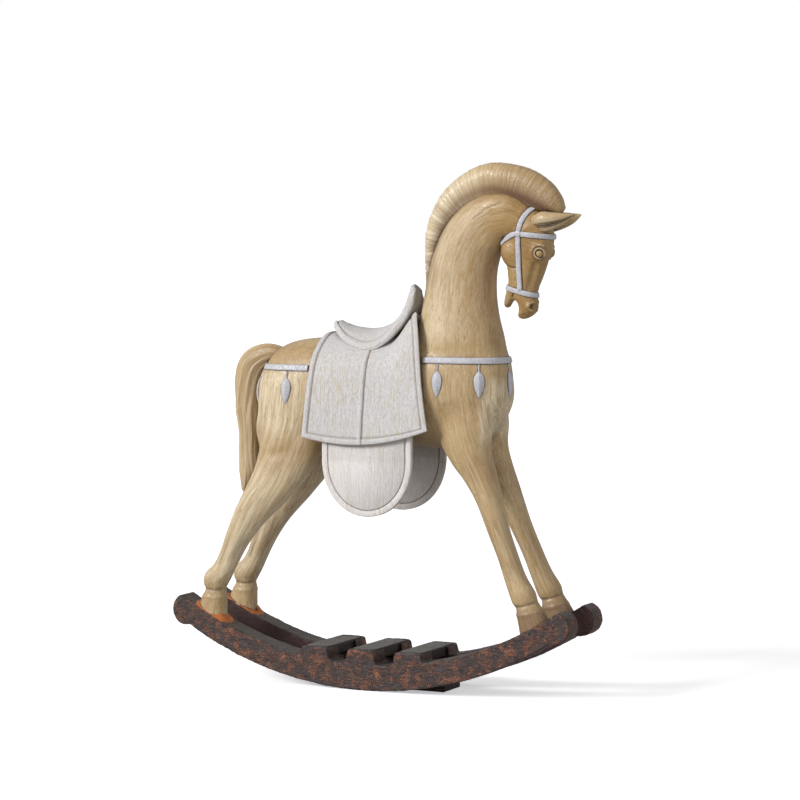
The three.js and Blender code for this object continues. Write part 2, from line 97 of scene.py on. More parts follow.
def framed(*columns: Sequence[float]) -> Matrix:
    """A frame from its three axes and its origin."""
    m = Matrix.Identity(4)
    for i, column in enumerate(columns):
        m.col[i][:3] = column
    return m


def sections_along(path: np.ndarray) -> list[Matrix]:
    """Turns path rows into frames that scale a unit ring to each section.

    Args:
        path: rows of x, y, z, half depth, half width.

    Returns:
        One matrix for each row: depth across the path, width along Y, and then the path's own direction.
    """
    frames = []
    for row, slope in zip(path, np.gradient(path[:, :3], axis=0)):
        along = Vector(slope).normalized()
        side = (Vector((0, 1, 0)) - along * along.y).normalized()
        frames.append(framed(side.cross(along) * row[3], side * row[4], along, row[:3]))
    return frames


def round_ring(count: int, squareness: float = 2.0) -> list[tuple[float, float]]:
    """A closed unit ring, from round to nearly square.

    Args:
        count: how many points.
        squareness: 2 for a circle, more for flatter sides.

    Returns:
        The ring's points.
    """
    ring = []
    for k in range(count):
        c, s = math.cos(2 * math.pi * k / count), math.sin(2 * math.pi * k / count)
        power = 2 / squareness
        ring.append((math.copysign(abs(c) ** power, c), math.copysign(abs(s) ** power, s)))
    return ring


def verts_in(geometry: Sequence) -> set[bmesh.types.BMVert]:
    """The vertices among what an operator made."""
    return {g for g in geometry if isinstance(g, bmesh.types.BMVert)}


def sweep(bm: BM, ring: Ring, frames: Sequence[Matrix], closed: bool = False) -> None:
    """Extrudes a ring through a row of frames, and closes its ends.

    Each vertex keeps how far along and around it lies, in the float layers "along" and "around".

    Args:
        bm: the mesh to add to.
        ring: the section's points, in the first two axes of each frame.
        frames: where each section goes.
        closed: whether the last section meets the first, as on a hoop.
    """
    along = bm.verts.layers.float.get("along") or bm.verts.layers.float.new("along")
    around = bm.verts.layers.float.get("around") or bm.verts.layers.float.new("around")
    verts = [bm.verts.new(frames[0] @ Vector((x, y, 0))) for x, y in ring]
    for k, v in enumerate(verts):
        v[around] = k / len(verts)
    edges = [bm.edges.new((a, b)) for a, b in zip(verts, verts[1:] + verts[:1])]
    first, length = list(edges), 0.0
    for before, after in zip(frames, frames[1:]):
        made = bmesh.ops.extrude_edge_only(bm, edges=edges)["geom"]
        fresh = verts_in(made)
        edges = [g for g in made if isinstance(g, bmesh.types.BMEdge) and set(g.verts) <= fresh]
        bmesh.ops.transform(bm, matrix=after @ before.inverted(), verts=list(fresh))
        length += (after.translation - before.translation).length
        for v in fresh:
            v[along] = length
    if closed:
        bmesh.ops.bridge_loops(bm, edges=first + edges)
    else:
        bmesh.ops.contextual_create(bm, geom=first)
        bmesh.ops.contextual_create(bm, geom=edges)


def tidied(bm: BM) -> BM:
    """Merges doubles and turns all faces outwards.

    Args:
        bm: the mesh to tidy.

    Returns:
        The same mesh.
    """
    bmesh.ops.remove_doubles(bm, verts=bm.verts, dist=0.01)
    bmesh.ops.recalc_face_normals(bm, faces=bm.faces)
    bm.normal_update()
    return bm


def swept(ring: Ring, frames: Sequence[Matrix], closed: bool = False) -> BM:
    """A tidied sweep in a mesh of its own."""
    bm = bmesh.new()
    sweep(bm, ring, frames, closed)
    return tidied(bm)


def spun(profile: Ring, steps: int, place: Matrix) -> BM:
    """Spins a profile once round its axis.

    Args:
        profile: radii and heights, from one end of the axis to the other.
        steps: how many faces go round.
        place: where the finished shape goes.

    Returns:
        The closed shape.
    """
    bm = bmesh.new()
    verts = [bm.verts.new((r, 0, h)) for r, h in profile]
    edges = [bm.edges.new(pair) for pair in zip(verts, verts[1:])]
    bmesh.ops.spin(bm, geom=verts + edges, cent=(0, 0, 0), axis=(0, 0, 1), angle=2 * math.pi, steps=steps,
                   use_merge=True)
    tidied(bm)
    bmesh.ops.transform(bm, matrix=place, verts=bm.verts)
    return bm


def remeshed(bm: BM, voxel: float) -> Mesh:
    """Welds overlapping shapes into one skin of even quads.

    Args:
        bm: closed shapes in millimetres. It is freed.
        voxel: the size of the quads, in millimetres.

    Returns:
        The new mesh, in millimetres.
    """
    blank = bpy.data.objects.new("blank", mesh_of(bm, "blank"))
    bpy.context.scene.collection.objects.link(blank)
    weld = blank.modifiers.new("weld", "REMESH")
    weld.mode = "VOXEL"
    weld.voxel_size = voxel
    skin = bpy.data.meshes.new_from_object(blank.evaluated_get(bpy.context.evaluated_depsgraph_get()))
    bpy.data.objects.remove(blank)
    return skin


@dataclass
class Skin:
    """The vertices of a mesh as arrays, for carving by hand.

    Attributes:
        mesh: the mesh, in millimetres.
        co: one row for each vertex.
        edges: the two vertices of each edge.
    """

    mesh: Mesh
    co: np.ndarray = field(init=False)
    edges: np.ndarray = field(init=False)

    def __post_init__(self) -> None:
        """Reads the arrays from the mesh."""
        self.co = np.empty(len(self.mesh.vertices) * 3)
        self.mesh.vertices.foreach_get("co", self.co)
        self.co = self.co.reshape(-1, 3)
        self.edges = np.empty(len(self.mesh.edges) * 2, np.int32)
        self.mesh.edges.foreach_get("vertices", self.edges)
        self.edges = self.edges.reshape(-1, 2)

    def spread(self, values: np.ndarray, times: int = 1) -> np.ndarray:
        """Averages a value with its neighbours' values.

        Args:
            values: one number for each vertex.
            times: how often to do so.

        Returns:
            The averaged values.
        """
        a, b = self.edges.T
        count = len(values)
        links = np.maximum(np.bincount(a, minlength=count) + np.bincount(b, minlength=count), 1)
        for _ in range(times):
            total = np.bincount(a, values[b], count) + np.bincount(b, values[a], count)
            values = 0.5 * values + 0.5 * total / links
        return values

    def averaged(self) -> np.ndarray:
        """Each vertex moved half way to the middle of its neighbours."""
        return np.stack([self.spread(self.co[:, i]) for i in range(3)], axis=1)

    def relax(self, times: int, weight: float | np.ndarray = 1.0) -> None:
        """Smooths the shape.

        Args:
            times: how often each vertex moves half way to the middle of its neighbours.
            weight: how much of that move is made, for all vertices or for each.
        """
        for _ in range(times):
            self.co += (self.averaged() - self.co) * np.reshape(weight, (-1, 1))

    def normals(self) -> np.ndarray:
        """The outward direction at each vertex."""
        self.write()
        out = np.empty(len(self.co) * 3)
        self.mesh.vertex_normals.foreach_get("vector", out)
        return out.reshape(-1, 3)

    def push(self, amount: np.ndarray) -> None:
        """Moves each vertex outwards by its own amount, in millimetres."""
        self.co += self.normals() * amount[:, None]

    def write(self) -> None:
        """Puts the arrays back in the mesh."""
        self.mesh.vertices.foreach_set("co", self.co.ravel())
        self.mesh.update()

    def mark(self, name: str, values: np.ndarray) -> None:
        """Keeps a number or a vector for each vertex, for a material to read.

        Args:
            name: the attribute's name.
            values: one number or one row of three for each vertex.
        """
        kind, key = ("FLOAT", "value") if values.ndim == 1 else ("FLOAT_VECTOR", "vector")
        layer = self.mesh.attributes.get(name) or self.mesh.attributes.new(name, kind, "POINT")
        layer.data.foreach_set(key, values.astype(np.float32).ravel())


def ramp(x: np.ndarray, low: float, high: float) -> np.ndarray:
    """A smooth step from 0 at low to 1 at high."""
    t = np.clip((x - low) / (high - low), 0, 1)
    return t * t * (3 - 2 * t)


def near_line(co: np.ndarray, points: Sequence[tuple[float, float]], width: float,
              axes: tuple[int, int] = (0, 2)) -> np.ndarray:
    """How near each vertex is to a drawn line, seen along the third axis.

    Args:
        co: vertices, one in each row.
        points: the line's points.
        width: the distance at which the value has fallen to about a third.
        axes: the two axes in which the line is drawn.

    Returns:
        1 on the line, falling smoothly to 0.
    """
    flat = co[:, axes]
    best = np.full(len(co), 1e9)
    for a, b in zip(np.array(points[:-1], float), np.array(points[1:], float)):
        span = b - a
        t = np.clip(((flat - a) @ span) / (span @ span), 0, 1)
        best = np.minimum(best, np.linalg.norm(flat - a - t[:, None] * span, axis=1))
    return np.exp(-(best / width) ** 2)


def grain_noise(co: np.ndarray, size: Sequence[float], seed: float = 0.0) -> np.ndarray:
    """Smooth noise between about -1 and 1.

    Args:
        co: where to read it.
        size: how long its waves are along each axis.
        seed: picks another pattern.

    Returns:
        One value for each row.
    """
    scaled = co / np.asarray(size, float) + seed
    return np.array([noise.noise(row) for row in scaled])


def make_piece(mesh: Mesh, name: str, finish: "Finish", replaces: Sequence[str] = ()) -> Object:
    """Turns a mesh in millimetres into a finished piece of the horse.

    Args:
        mesh: the piece's mesh.
        name: the piece's name.
        finish: what it is painted with.
        replaces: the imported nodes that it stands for.

    Returns:
        The piece, in metres and riding on the root body.
    """
    mesh.transform(Matrix.Scale(MM, 4))
    mesh.name = name
    mesh.shade_smooth()
    mesh.materials.clear()
    mesh.materials.append(finish.material())
    obj = bpy.data.objects.new(name, mesh)
    bpy.context.scene.collection.objects.link(obj)
    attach(obj, "root")
    if replaces:
        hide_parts(*replaces)
    return obj


def mesh_of(bm: BM, name: str) -> Mesh:
    """Makes a mesh from a bmesh and frees it."""
    mesh = bpy.data.meshes.new(name)
    bm.to_mesh(mesh)
    bm.free()
    return mesh


def kept(mesh: Mesh, name: str) -> np.ndarray:
    """The number that a mesh keeps for each vertex under a name."""
    values = np.empty(len(mesh.vertices))
    mesh.attributes[name].data.foreach_get("value", values)
    return values


# ---------------------------------------------------------------- finishes


def paint(red: int, green: int, blue: int) -> Colour:
    """A colour given as a paint chart gives it, from 0 to 255, in the shader's own linear values."""
    parts = [c / 255 for c in (red, green, blue)]
    linear = [c / 12.92 if c <= 0.04045 else ((c + 0.055) / 1.055) ** 2.4 for c in parts]
    return (linear[0], linear[1], linear[2], 1.0)


class Board:
    """Places and joins the nodes of one material or node group."""

    def __init__(self, tree: Tree) -> None:
        """Starts with an empty tree."""
        self.tree = tree
        tree.nodes.clear()

    def put(self, kind: str, inputs: Optional[dict] = None, **settings: object) -> Node:
        """Adds a node.

        Args:
            kind: the node's type, without its prefix.
            inputs: a constant or another node's socket for each named or numbered input.
            settings: the node's own properties.

        Returns:
            The new node.
        """
        node = self.tree.nodes.new(kind if kind.startswith("Node") else "ShaderNode" + kind)
        for key, value in settings.items():
            setattr(node, key, value)
        for key, value in (inputs or {}).items():
            if isinstance(value, Socket):
                self.tree.links.new(value, node.inputs[key])
            else:
                node.inputs[key].default_value = value
        return node

    def mix(self, factor: object, a: object, b: object) -> Socket:
        """Blends colour a towards colour b by a factor."""
        return self.put("Mix", {0: factor, 6: a, 7: b}, data_type="RGBA").outputs[2]

    def sum(self, operation: str, a: object, b: object = 0.0) -> Socket:
        """Works out one number from two."""
        return self.put("Math", {0: a, 1: b}, operation=operation).outputs[0]

    def step(self, value: object, low: object, high: object) -> Socket:
        """A smooth step of a value from low to high."""
        sockets = {"Value": value, "From Min": low, "From Max": high}
        return self.put("MapRange", sockets, interpolation_type="SMOOTHSTEP").outputs["Result"]

    def read(self, name: str, output: str = "Fac") -> Socket:
        """Reads a value kept on the mesh."""
        return self.put("Attribute", attribute_name=name).outputs[output]

    def place(self) -> Socket:
        """The place on the object, in millimetres."""
        spot = self.put("TexCoord").outputs["Object"]
        return self.put("VectorMath", {0: spot, 1: (1 / MM,) * 3}, operation="MULTIPLY").outputs[0]

    def effect(self, group: Tree, inputs: dict) -> Node:
        """Adds a shared effect with its own values."""
        return self.put("Group", inputs, node_tree=group)

    def noise(self, vector: Socket, scale: object, detail: float = 2.0, **more: float) -> Socket:
        """A cloud of noise between 0 and 1."""
        return self.put("TexNoise", {"Vector": vector, "Scale": scale, "Detail": detail, **more}).outputs[0]

    def marks(self, vector: Socket, stretch: Sequence[float], threshold: float, softness: float) -> Socket:
        """Brush marks, stretched by 1 / length in millimetres along each axis."""
        return self.effect(brush_marks(), {"Vector": vector, "Stretch": stretch, "Threshold": threshold,
                                           "Softness": softness}).outputs[0]

    def wash(self, under: object, share: object, strength: float, over: object) -> Socket:
        """Lays a colour over another where a share says so, at a strength."""
        return self.mix(self.sum("MULTIPLY", share, strength), under, over)


def shared_effect(name: str, inputs: dict[str, object], outputs: Sequence[str],
                  build: Callable[[Board, Node], Sequence[Socket]]) -> Tree:
    """Builds a node group once, and finds it again after that.

    Args:
        name: the group's name.
        inputs: each input's name and first value. A tuple makes a vector input.
        outputs: the names of the outputs, all of them numbers.
        build: lays out the nodes, and returns a socket for each output.

    Returns:
        The node group.
    """
    if name in bpy.data.node_groups:
        return bpy.data.node_groups[name]
    tree = bpy.data.node_groups.new(name, "ShaderNodeTree")
    for key, value in inputs.items():
        kind = "NodeSocketVector" if isinstance(value, tuple) else "NodeSocketFloat"
        tree.interface.new_socket(key, in_out="INPUT", socket_type=kind).default_value = value
    for key in outputs:
        tree.interface.new_socket(key, in_out="OUTPUT", socket_type="NodeSocketFloat")
    board = Board(tree)
    made = build(board, board.put("NodeGroupInput"))
    end = board.put("NodeGroupOutput")
    for key, socket in zip(outputs, made):
        tree.links.new(socket, end.inputs[key])
    return tree


def brush_marks() -> Tree:
    """Long soft marks left by a nearly dry brush."""
    def build(board: Board, given: Node) -> list[Socket]:
        """Stretches a noise and keeps what lies above the threshold."""
        pulled = board.put("VectorMath", {0: given.outputs["Vector"], 1: given.outputs["Stretch"]},
                           operation="MULTIPLY").outputs[0]
        cloud = board.noise(pulled, 1.0, 4.0, Roughness=0.65)
        top = board.sum("ADD", given.outputs["Threshold"], given.outputs["Softness"])
        return [board.step(cloud, given.outputs["Threshold"], top)]

    first = {"Vector": (0.0, 0.0, 0.0), "Stretch": (1.0, 1.0, 1.0), "Threshold": 0.5, "Softness": 0.1}
    return shared_effect("brush_marks", first, ["Mask"], build)


def clumped_flecks() -> Tree:
    """Small flecks that gather in clumps, as where a top coat was rubbed through."""
    def build(board: Board, given: Node) -> list[Socket]:
        """Adds a coarse cloud to a fine one and keeps what lies above the threshold."""
        spot, fineness = given.outputs["Vector"], given.outputs["Fineness"]
        fine = board.noise(spot, fineness, 3.0, Roughness=0.75, Distortion=0.3)
        clump = board.noise(spot, board.sum("MULTIPLY", fineness, 0.1))
        both = board.sum("ADD", board.sum("MULTIPLY", fine, 0.68), board.sum("MULTIPLY", clump, 0.32))
        top = board.sum("ADD", given.outputs["Threshold"], given.outputs["Softness"])
        return [board.step(both, given.outputs["Threshold"], top)]

    first = {"Vector": (0.0, 0.0, 0.0), "Fineness": 1.0, "Threshold": 0.52, "Softness": 0.04}
    return shared_effect("clumped_flecks", first, ["Mask"], build)


def handling_wear() -> Tree:
    """Masks for proud edges, where paint is rubbed off and on the horse a highlight is painted, and for
    hollows, where shade is painted into the colour.
    """
    def build(board: Board, given: Node) -> list[Socket]:
        """Breaks the kept edge and hollow values up with noise."""
        cloud = board.noise(given.outputs["Vector"], 0.6, 4.0)
        shift = board.sum("MULTIPLY", board.sum("SUBTRACT", cloud, 0.5), given.outputs["Break Up"])
        # Proud edges: rubbed paint, and on the horse also a painted highlight.
        rubbed = board.step(board.sum("ADD", board.read("proud"), shift), 0.25, 0.75)
        # Painted shade in hollows, from the occlusion kept on the mesh.
        hollow_shade = board.step(board.sum("ADD", board.read("hollow"), shift), 0.18, 0.85)
        return [rubbed, hollow_shade]

    first = {"Vector": (0.0, 0.0, 0.0), "Break Up": 0.5}
    return shared_effect("handling_wear", first, ["Rubbed", "Grime"], build)


@dataclass(frozen=True)
class Finish:
    """What a piece is painted with. Each kind of finish lays out its own nodes."""

    name: str

    def material(self) -> bpy.types.Material:
        """The finish's material, made once."""
        found = bpy.data.materials.get(self.name)
        if found is None:
            found = bpy.data.materials.new(self.name)
            found.use_nodes = True
            board = Board(found.node_tree)
            shader = board.put("BsdfPrincipled")
            board.put("OutputMaterial", {"Surface": shader.outputs[0]})
            self.lay_out(board, shader)
        return found

    def lay_out(self, board: Board, shader: Node) -> None:
        """Joins the finish's nodes to the shader."""
        raise NotImplementedError

    @staticmethod
    def coat(board: Board, shader: Node, colour: Socket, dull: Socket, rough: tuple[float, float],
             height: Socket, depth: float) -> None:
        """Joins the finished colour, the sheen and a fine relief to the shader.

        Args:
            board: where the nodes go.
            shader: the surface's shader.
            colour: the finished colour.
            dull: where the surface is dull, from 0 to 1.
            rough: its roughness where it shines and where it is dull.
            height: the relief, from 0 to 1.
            depth: how deep it is, in millimetres.
        """
        sheen = board.put("MapRange", {"Value": dull, "To Min": rough[0], "To Max": rough[1]})
        bump = board.put("Bump", {"Height": height, "Distance": depth * MM, "Strength": 1.0})
        joins = ((colour, "Base Color"), (sheen.outputs[0], "Roughness"), (bump.outputs[0], "Normal"))
        for socket, name in joins:
            board.tree.links.new(socket, shader.inputs[name])


@dataclass(frozen=True)
class BrushedWood(Finish):
    """Tan paint with pale and brown brush marks that follow the carving."""

    tan: Colour = paint(172, 139, 86)
    honey: Colour = paint(153, 117, 64)
    pale: Colour = paint(234, 220, 190)
    brown: Colour = paint(96, 68, 38)
    plum: Colour = paint(104, 74, 52)
    dark: Colour = paint(52, 33, 22)
    pale_share: float = 0.48
    brown_share: float = 0.48
    roughness: float = 0.4
    relief: float = 0.09

    def lay_out(self, board: Board, shader: Node) -> None:
        """Layers the marks and the pale veil, then a painted highlight on proud edges, painted shade on the
        throat, under the belly and in hollows, and glaze with painted shade in carved lines.
        """
        grain, spot, bleached = board.read("grain", "Vector"), board.place(), board.read("bleached")

        def streaks(thick: float, length: float, threshold: float, softness: float) -> Socket:
            """Marks of one thickness and length, in millimetres."""
            return board.marks(grain, (1 / thick, 1 / thick, 1 / length), threshold, softness)

        broad = board.noise(spot, 0.028, 3.0)
        long_marks, fine_marks = streaks(3.2, 90, 0.4, 0.24), streaks(0.9, 24, 0.46, 0.22)
        brown_marks, hairs = streaks(1.0, 40, 0.53, 0.16), streaks(0.7, 1.6, 0.54, 0.14)
        edges_and_shade = board.effect(handling_wear(), {"Vector": spot, "Break Up": 0.35})
        colour = board.mix(board.step(broad, 0.35, 0.65), self.tan, self.honey)
        # Pale veil: bleached streaks, and painted light on the chest, the haunch and the back of the neck.
        veil = board.sum("MULTIPLY", bleached, board.sum("MULTIPLY", board.step(long_marks, -0.9, 1.0), 0.85))
        colour = board.mix(veil, colour, self.pale)
        colour = board.wash(colour, brown_marks, self.brown_share, self.brown)
        here = board.put("MapRange", {"Value": bleached, "To Min": 0.35, "To Max": 1.0}).outputs[0]
        colour = board.wash(colour, board.sum("MULTIPLY", fine_marks, here), self.pale_share, self.pale)
        # Pale on proud edges is rubbed paint and a painted highlight. Plum is painted shade on the throat,
        # mane root and belly, and the front hooves' own dark paint. Dark is painted shade in hollows, and
        # glaze with painted shade in carved lines.
        layers = ((hairs, 0.26, self.brown), (edges_and_shade.outputs["Rubbed"], 0.35, self.pale),
                  (board.read("glaze"), 0.7, self.plum), (edges_and_shade.outputs["Grime"], 0.72, self.dark),
                  (board.read("line"), 0.9, self.dark))
        for share, strength, over in layers:
            colour = board.wash(colour, share, strength, over)
        self.coat(board, shader, colour, fine_marks, (self.roughness - 0.08, self.roughness + 0.16),
                  board.sum("ADD", fine_marks, hairs), self.relief)


@dataclass(frozen=True)
class Limewash(Finish):
    """Chalky off-white paint with a faint ochre grain under it."""

    white: Colour = paint(204, 201, 200)
    grey: Colour = paint(164, 161, 163)
    ochre: Colour = paint(198, 178, 140)
    dark: Colour = paint(96, 84, 68)
    roughness: float = 0.62

    def lay_out(self, board: Board, shader: Node) -> None:
        """Layers grey scuffs and ochre grain, then painted shade in hollows and on the faces marked for it,
        and glaze with painted shade in the grooves.
        """
        spot = board.place()
        scuffs = board.marks(spot, (0.9, 0.9, 0.35), 0.46, 0.16)
        grain = board.marks(spot, (0.7, 0.7, 0.07), 0.47, 0.16)
        broad = board.noise(spot, 0.035)
        pits = board.noise(spot, 1.3, 5.0, Roughness=0.7)
        edges_and_shade = board.effect(handling_wear(), {"Vector": spot, "Break Up": 0.3})
        colour = board.wash(self.white, scuffs, 0.5, self.grey)
        here = board.sum("MULTIPLY", grain, board.step(broad, 0.4, 0.62))
        # The dark is painted shade in hollows, on the seat's front and on the flaps' inner faces, and glaze
        # with painted shade in the grooves.
        layers = ((here, 0.55, self.ochre), (board.step(pits, 0.58, 0.72), 0.3, self.dark),
                  (edges_and_shade.outputs["Rubbed"], 0.5, self.white), (board.read("glaze"), 0.7, self.dark),
                  (edges_and_shade.outputs["Grime"], 0.55, self.dark), (board.read("line"), 0.8, self.dark))
        for share, strength, over in layers:
            colour = board.wash(colour, share, strength, over)
        self.coat(board, shader, colour, pits, (self.roughness - 0.12, self.roughness + 0.15),
                  board.sum("ADD", board.sum("MULTIPLY", pits, 0.6), grain), 0.16)


@dataclass(frozen=True)
class RubbedRunner(Finish):
    """Charcoal paint rubbed through to copper in clumps of flecks."""

    charcoal: Colour = paint(74, 62, 60)
    soot: Colour = paint(20, 16, 16)
    copper: Colour = paint(188, 120, 84)
    rust: Colour = paint(54, 28, 25)
    drab: Colour = paint(92, 85, 80)
    fleck_threshold: float = 0.525
    fleck_share: float = 0.85

    def lay_out(self, board: Board, shader: Node) -> None:
        """Layers black streaks and copper flecks, black edges and painted shade in hollows, with painted
        light on upward faces, which get a lighter drab, and painted shade on the low inner faces, which get a
        dark red.
        """
        spot, flecks = board.place(), clumped_flecks()
        streak = board.marks(spot, (0.16, 1.1, 1.2), 0.44, 0.15)
        copper = board.effect(flecks, {"Vector": spot, "Fineness": 1.05, "Threshold": self.fleck_threshold,
                                       "Softness": 0.03}).outputs[0]
        glow = board.effect(flecks, {"Vector": spot, "Fineness": 0.3, "Threshold": 0.5,
                                     "Softness": 0.1}).outputs[0]
        edges_and_shade = board.effect(handling_wear(), {"Vector": spot, "Break Up": 0.7})
        grit = board.noise(spot, 0.9, Roughness=0.6)
        bare = board.sum("MULTIPLY", copper, board.sum("SUBTRACT", 1.0, board.sum("MULTIPLY", streak, 0.55)))
        colour = self.charcoal
        # Painted shade: the dark red on the low inner faces; in the coarse clumps it is the paint's own
        # colour.
        layers = ((streak, 0.85, self.soot), (board.step(grit, 0.5, 0.62), 0.75, self.soot),
                  (glow, 0.35, self.rust), (bare, self.fleck_share, self.copper),
                  (board.read("inner"), 0.85, self.rust))
        for share, strength, over in layers:
            colour = board.wash(colour, share, strength, over)
        # Painted light: upward faces get the lighter drab.
        colour = board.mix(board.read("top"), colour, board.wash(self.drab, streak, 0.6, self.charcoal))
        # Black on proud edges is the paint's own; black in hollows is painted shade.
        colour = board.wash(colour, edges_and_shade.outputs["Rubbed"], 0.85, self.soot)
        colour = board.wash(colour, edges_and_shade.outputs["Grime"], 0.8, self.soot)
        self.coat(board, shader, colour, copper, (0.42, 0.62),
                  board.sum("ADD", board.sum("MULTIPLY", streak, 0.5), copper), 0.25)


@dataclass(frozen=True)
class PlainCoat(Finish):
    """One paint, scuffed towards a second one, with painted shade in hollows and dark lines where marked."""

    body: Colour
    scuff: Colour
    dirt: Colour
    roughness: float = 0.5
    scuff_share: float = 0.5
    stretch: tuple[float, float, float] = (0.6, 0.6, 0.6)

    def lay_out(self, board: Board, shader: Node) -> None:
        """Layers the scuffs, the rubbed edges, the painted shade in hollows and the dark lines."""
        spot = board.place()
        scuffs = board.marks(spot, self.stretch, 0.44, 0.2)
        edges_and_shade = board.effect(handling_wear(), {"Vector": spot, "Break Up": 0.3})
        colour = board.wash(self.body, scuffs, self.scuff_share, self.scuff)
        colour = board.wash(colour, edges_and_shade.outputs["Rubbed"], 0.3, self.body)
        # Painted shade in hollows; the same dark colour goes along marked lines.
        colour = board.wash(colour, edges_and_shade.outputs["Grime"], 0.75, self.dirt)
        colour = board.mix(board.read("line"), colour, self.dirt)
        self.coat(board, shader, colour, scuffs, (self.roughness - 0.1, self.roughness + 0.1), scuffs, 0.12)


HORSE_WOOD = BrushedWood("tan_brushwork")
SADDLE_PAINT = Limewash("chalky_limewash")
# Painted light: the flaps get a brighter copy of the cloth's limewash, as they catch more light than the
# cloth.
LIT_FLAP_PAINT = Limewash("flap_limewash", white=paint(226, 220, 217), grey=paint(188, 184, 184))
STRAP_PAINT = PlainCoat("cool_white", paint(196, 195, 200), paint(152, 151, 160), paint(72, 60, 48), 0.45)
RUNNER_PAINT = RubbedRunner("rubbed_charcoal")
SLAT_PAINT = RubbedRunner("rubbed_slat", drab=paint(106, 103, 98), copper=paint(110, 72, 48),
                          fleck_threshold=0.56)
COPPER_PATCH = PlainCoat("bright_copper", paint(196, 112, 46), paint(146, 74, 30), paint(60, 32, 20),
                         0.42, 0.6)
EYE_PAINT = PlainCoat("golden_bead", paint(184, 152, 98), paint(148, 114, 66), paint(40, 24, 12), 0.22, 0.4)
DOWEL_WOOD = PlainCoat("bare_dowel", paint(214, 186, 138), paint(188, 152, 100), paint(90, 64, 38), 0.6, 0.6,
                       stretch=(1.2, 1.2, 0.12))


# ---------------------------------------------------------------- the carved figure

TORSO: Stations = (
    (-114.5, 0, 243, 5, 4), (-112.5, 0, 243, 18, 13), (-107, 0, 243, 33, 22.5), (-96, 0, 243.5, 43, 30),
    (-76, 0, 247, 51, 34), (-48, 0, 252, 50.5, 33.5), (-14, 0, 253, 45, 32), (26, 0, 256, 46, 32),
    (60, 0, 259, 51, 33), (86, 0, 263, 51, 32), (104, 0, 264, 46, 27), (116, 0, 264, 34, 20),
    (121.5, 0, 264, 19, 12), (123.5, 0, 264, 6, 4))
NECK: Stations = (
    (77, 0, 268, 44, 29), (77, 0, 299, 40.5, 28), (77, 0, 322, 35, 25), (78, 0, 345, 31.5, 22),
    (81.5, 0, 367, 29.5, 20), (90, 0, 388, 27.5, 18.5), (104, 0, 403, 25, 17.5), (121, 0, 408, 22.5, 16.5),
    (137, 0, 402, 18, 15))
HEAD: Stations = (
    (142, 0, 415, 9, 8), (142, 0, 405, 17.5, 13.5), (141.2, 0, 389, 21.7, 14.8), (139, 0, 371, 18.5, 12.8),
    (136.5, 0, 352, 14, 10), (137.6, 0, 342, 11, 9), (140.4, 0, 335, 8.6, 8.6), (140, 0, 330, 9, 8.6),
    (137.8, 0, 325, 6.4, 6.6), (135.2, 0, 321, 2.6, 3.5))
JAW: Stations = (
    (131.5, 0, 356, 8, 8), (125.8, 0, 344, 5.4, 6.2), (121.6, 0, 335, 3.6, 5.2), (121, 0, 328.8, 2.2, 3.6))
REAR_LEG: Stations = (
    (-68, 14, 257, 24, 14), (-72, 17, 230, 31, 15), (-80, 19, 201, 28, 15), (-93, 21, 176, 21, 14),
    (-113, 24, 148, 15, 12), (-125, 26, 127, 11.3, 10.5), (-134, 27, 108, 9.4, 9.4),
    (-141, 27.5, 95, 9.8, 9.3), (-147.8, 27.5, 86, 11.4, 10), (-147.4, 27.5, 79.5, 8.8, 8.6),
    (-148, 27.5, 73.5, 10.6, 9.4),
    (-151.4, 27.5, 58, 14.2, 10.2), (-152.4, 27.5, 44, 14.6, 10.2))
FRONT_LEG: Stations = (
    (84, 14, 257, 22, 14), (88, 17, 231, 27, 14.5), (94, 17.5, 209, 20.5, 14.5), (103.5, 18.5, 190, 14.8, 13),
    (113, 20.5, 170, 11.4, 11.5), (123.2, 23.5, 144, 9.2, 10), (132.8, 25.5, 122, 8.5, 9.2),
    (141.2, 27, 102, 9.2, 9.2), (148.5, 27.5, 88, 10.8, 10), (151.5, 27.5, 82, 9.8, 8.9),
    (154, 27.5, 75, 11.6, 9.6), (160, 27.5, 60, 14.6, 10.2), (163, 27.5, 46, 15, 10.2))
MANE: Stations = (
    (46.5, 0, 334, 2.5, 3), (49.6, 0, 352, 4.3, 5.5), (51.2, 0, 372, 6.3, 7.5), (56.6, 0, 396, 10, 9.5),
    (73, 0, 419, 14, 11), (101, 0, 434, 17, 12), (129, 0, 433, 17, 12), (149, 0, 425, 15.5, 11),
    (162, 0, 417, 11, 9), (170, 0, 411, 5, 5))
TAIL: Stations = (
    (-88, 0, 281, 6.5, 6), (-101, 0, 286.5, 7.5, 7.5), (-114, 0, 285, 9.5, 9), (-125, 0, 277, 11.5, 10.5),
    (-129.5, 0, 262, 12, 11), (-129.5, 0, 240, 11.5, 11), (-128, 0, 218, 10, 10), (-128.5, 0, 199, 9.6, 9),
    (-129, 0, 182, 9, 8), (-131, 0, 172, 6, 5.5), (-134, 0, 164, 2, 2.4))
MANE_ROOT: Drawn = (
    (48.6, 341.7), (56.5, 381), (67.9, 405.7), (81.4, 420.1), (97.2, 427.7), (111.8, 430), (128.5, 426.5),
    (141.9, 420.9), (158.4, 412.2))
EYE = (155.0, 12.0, 376.0)  # the left eye's place on the carved skin

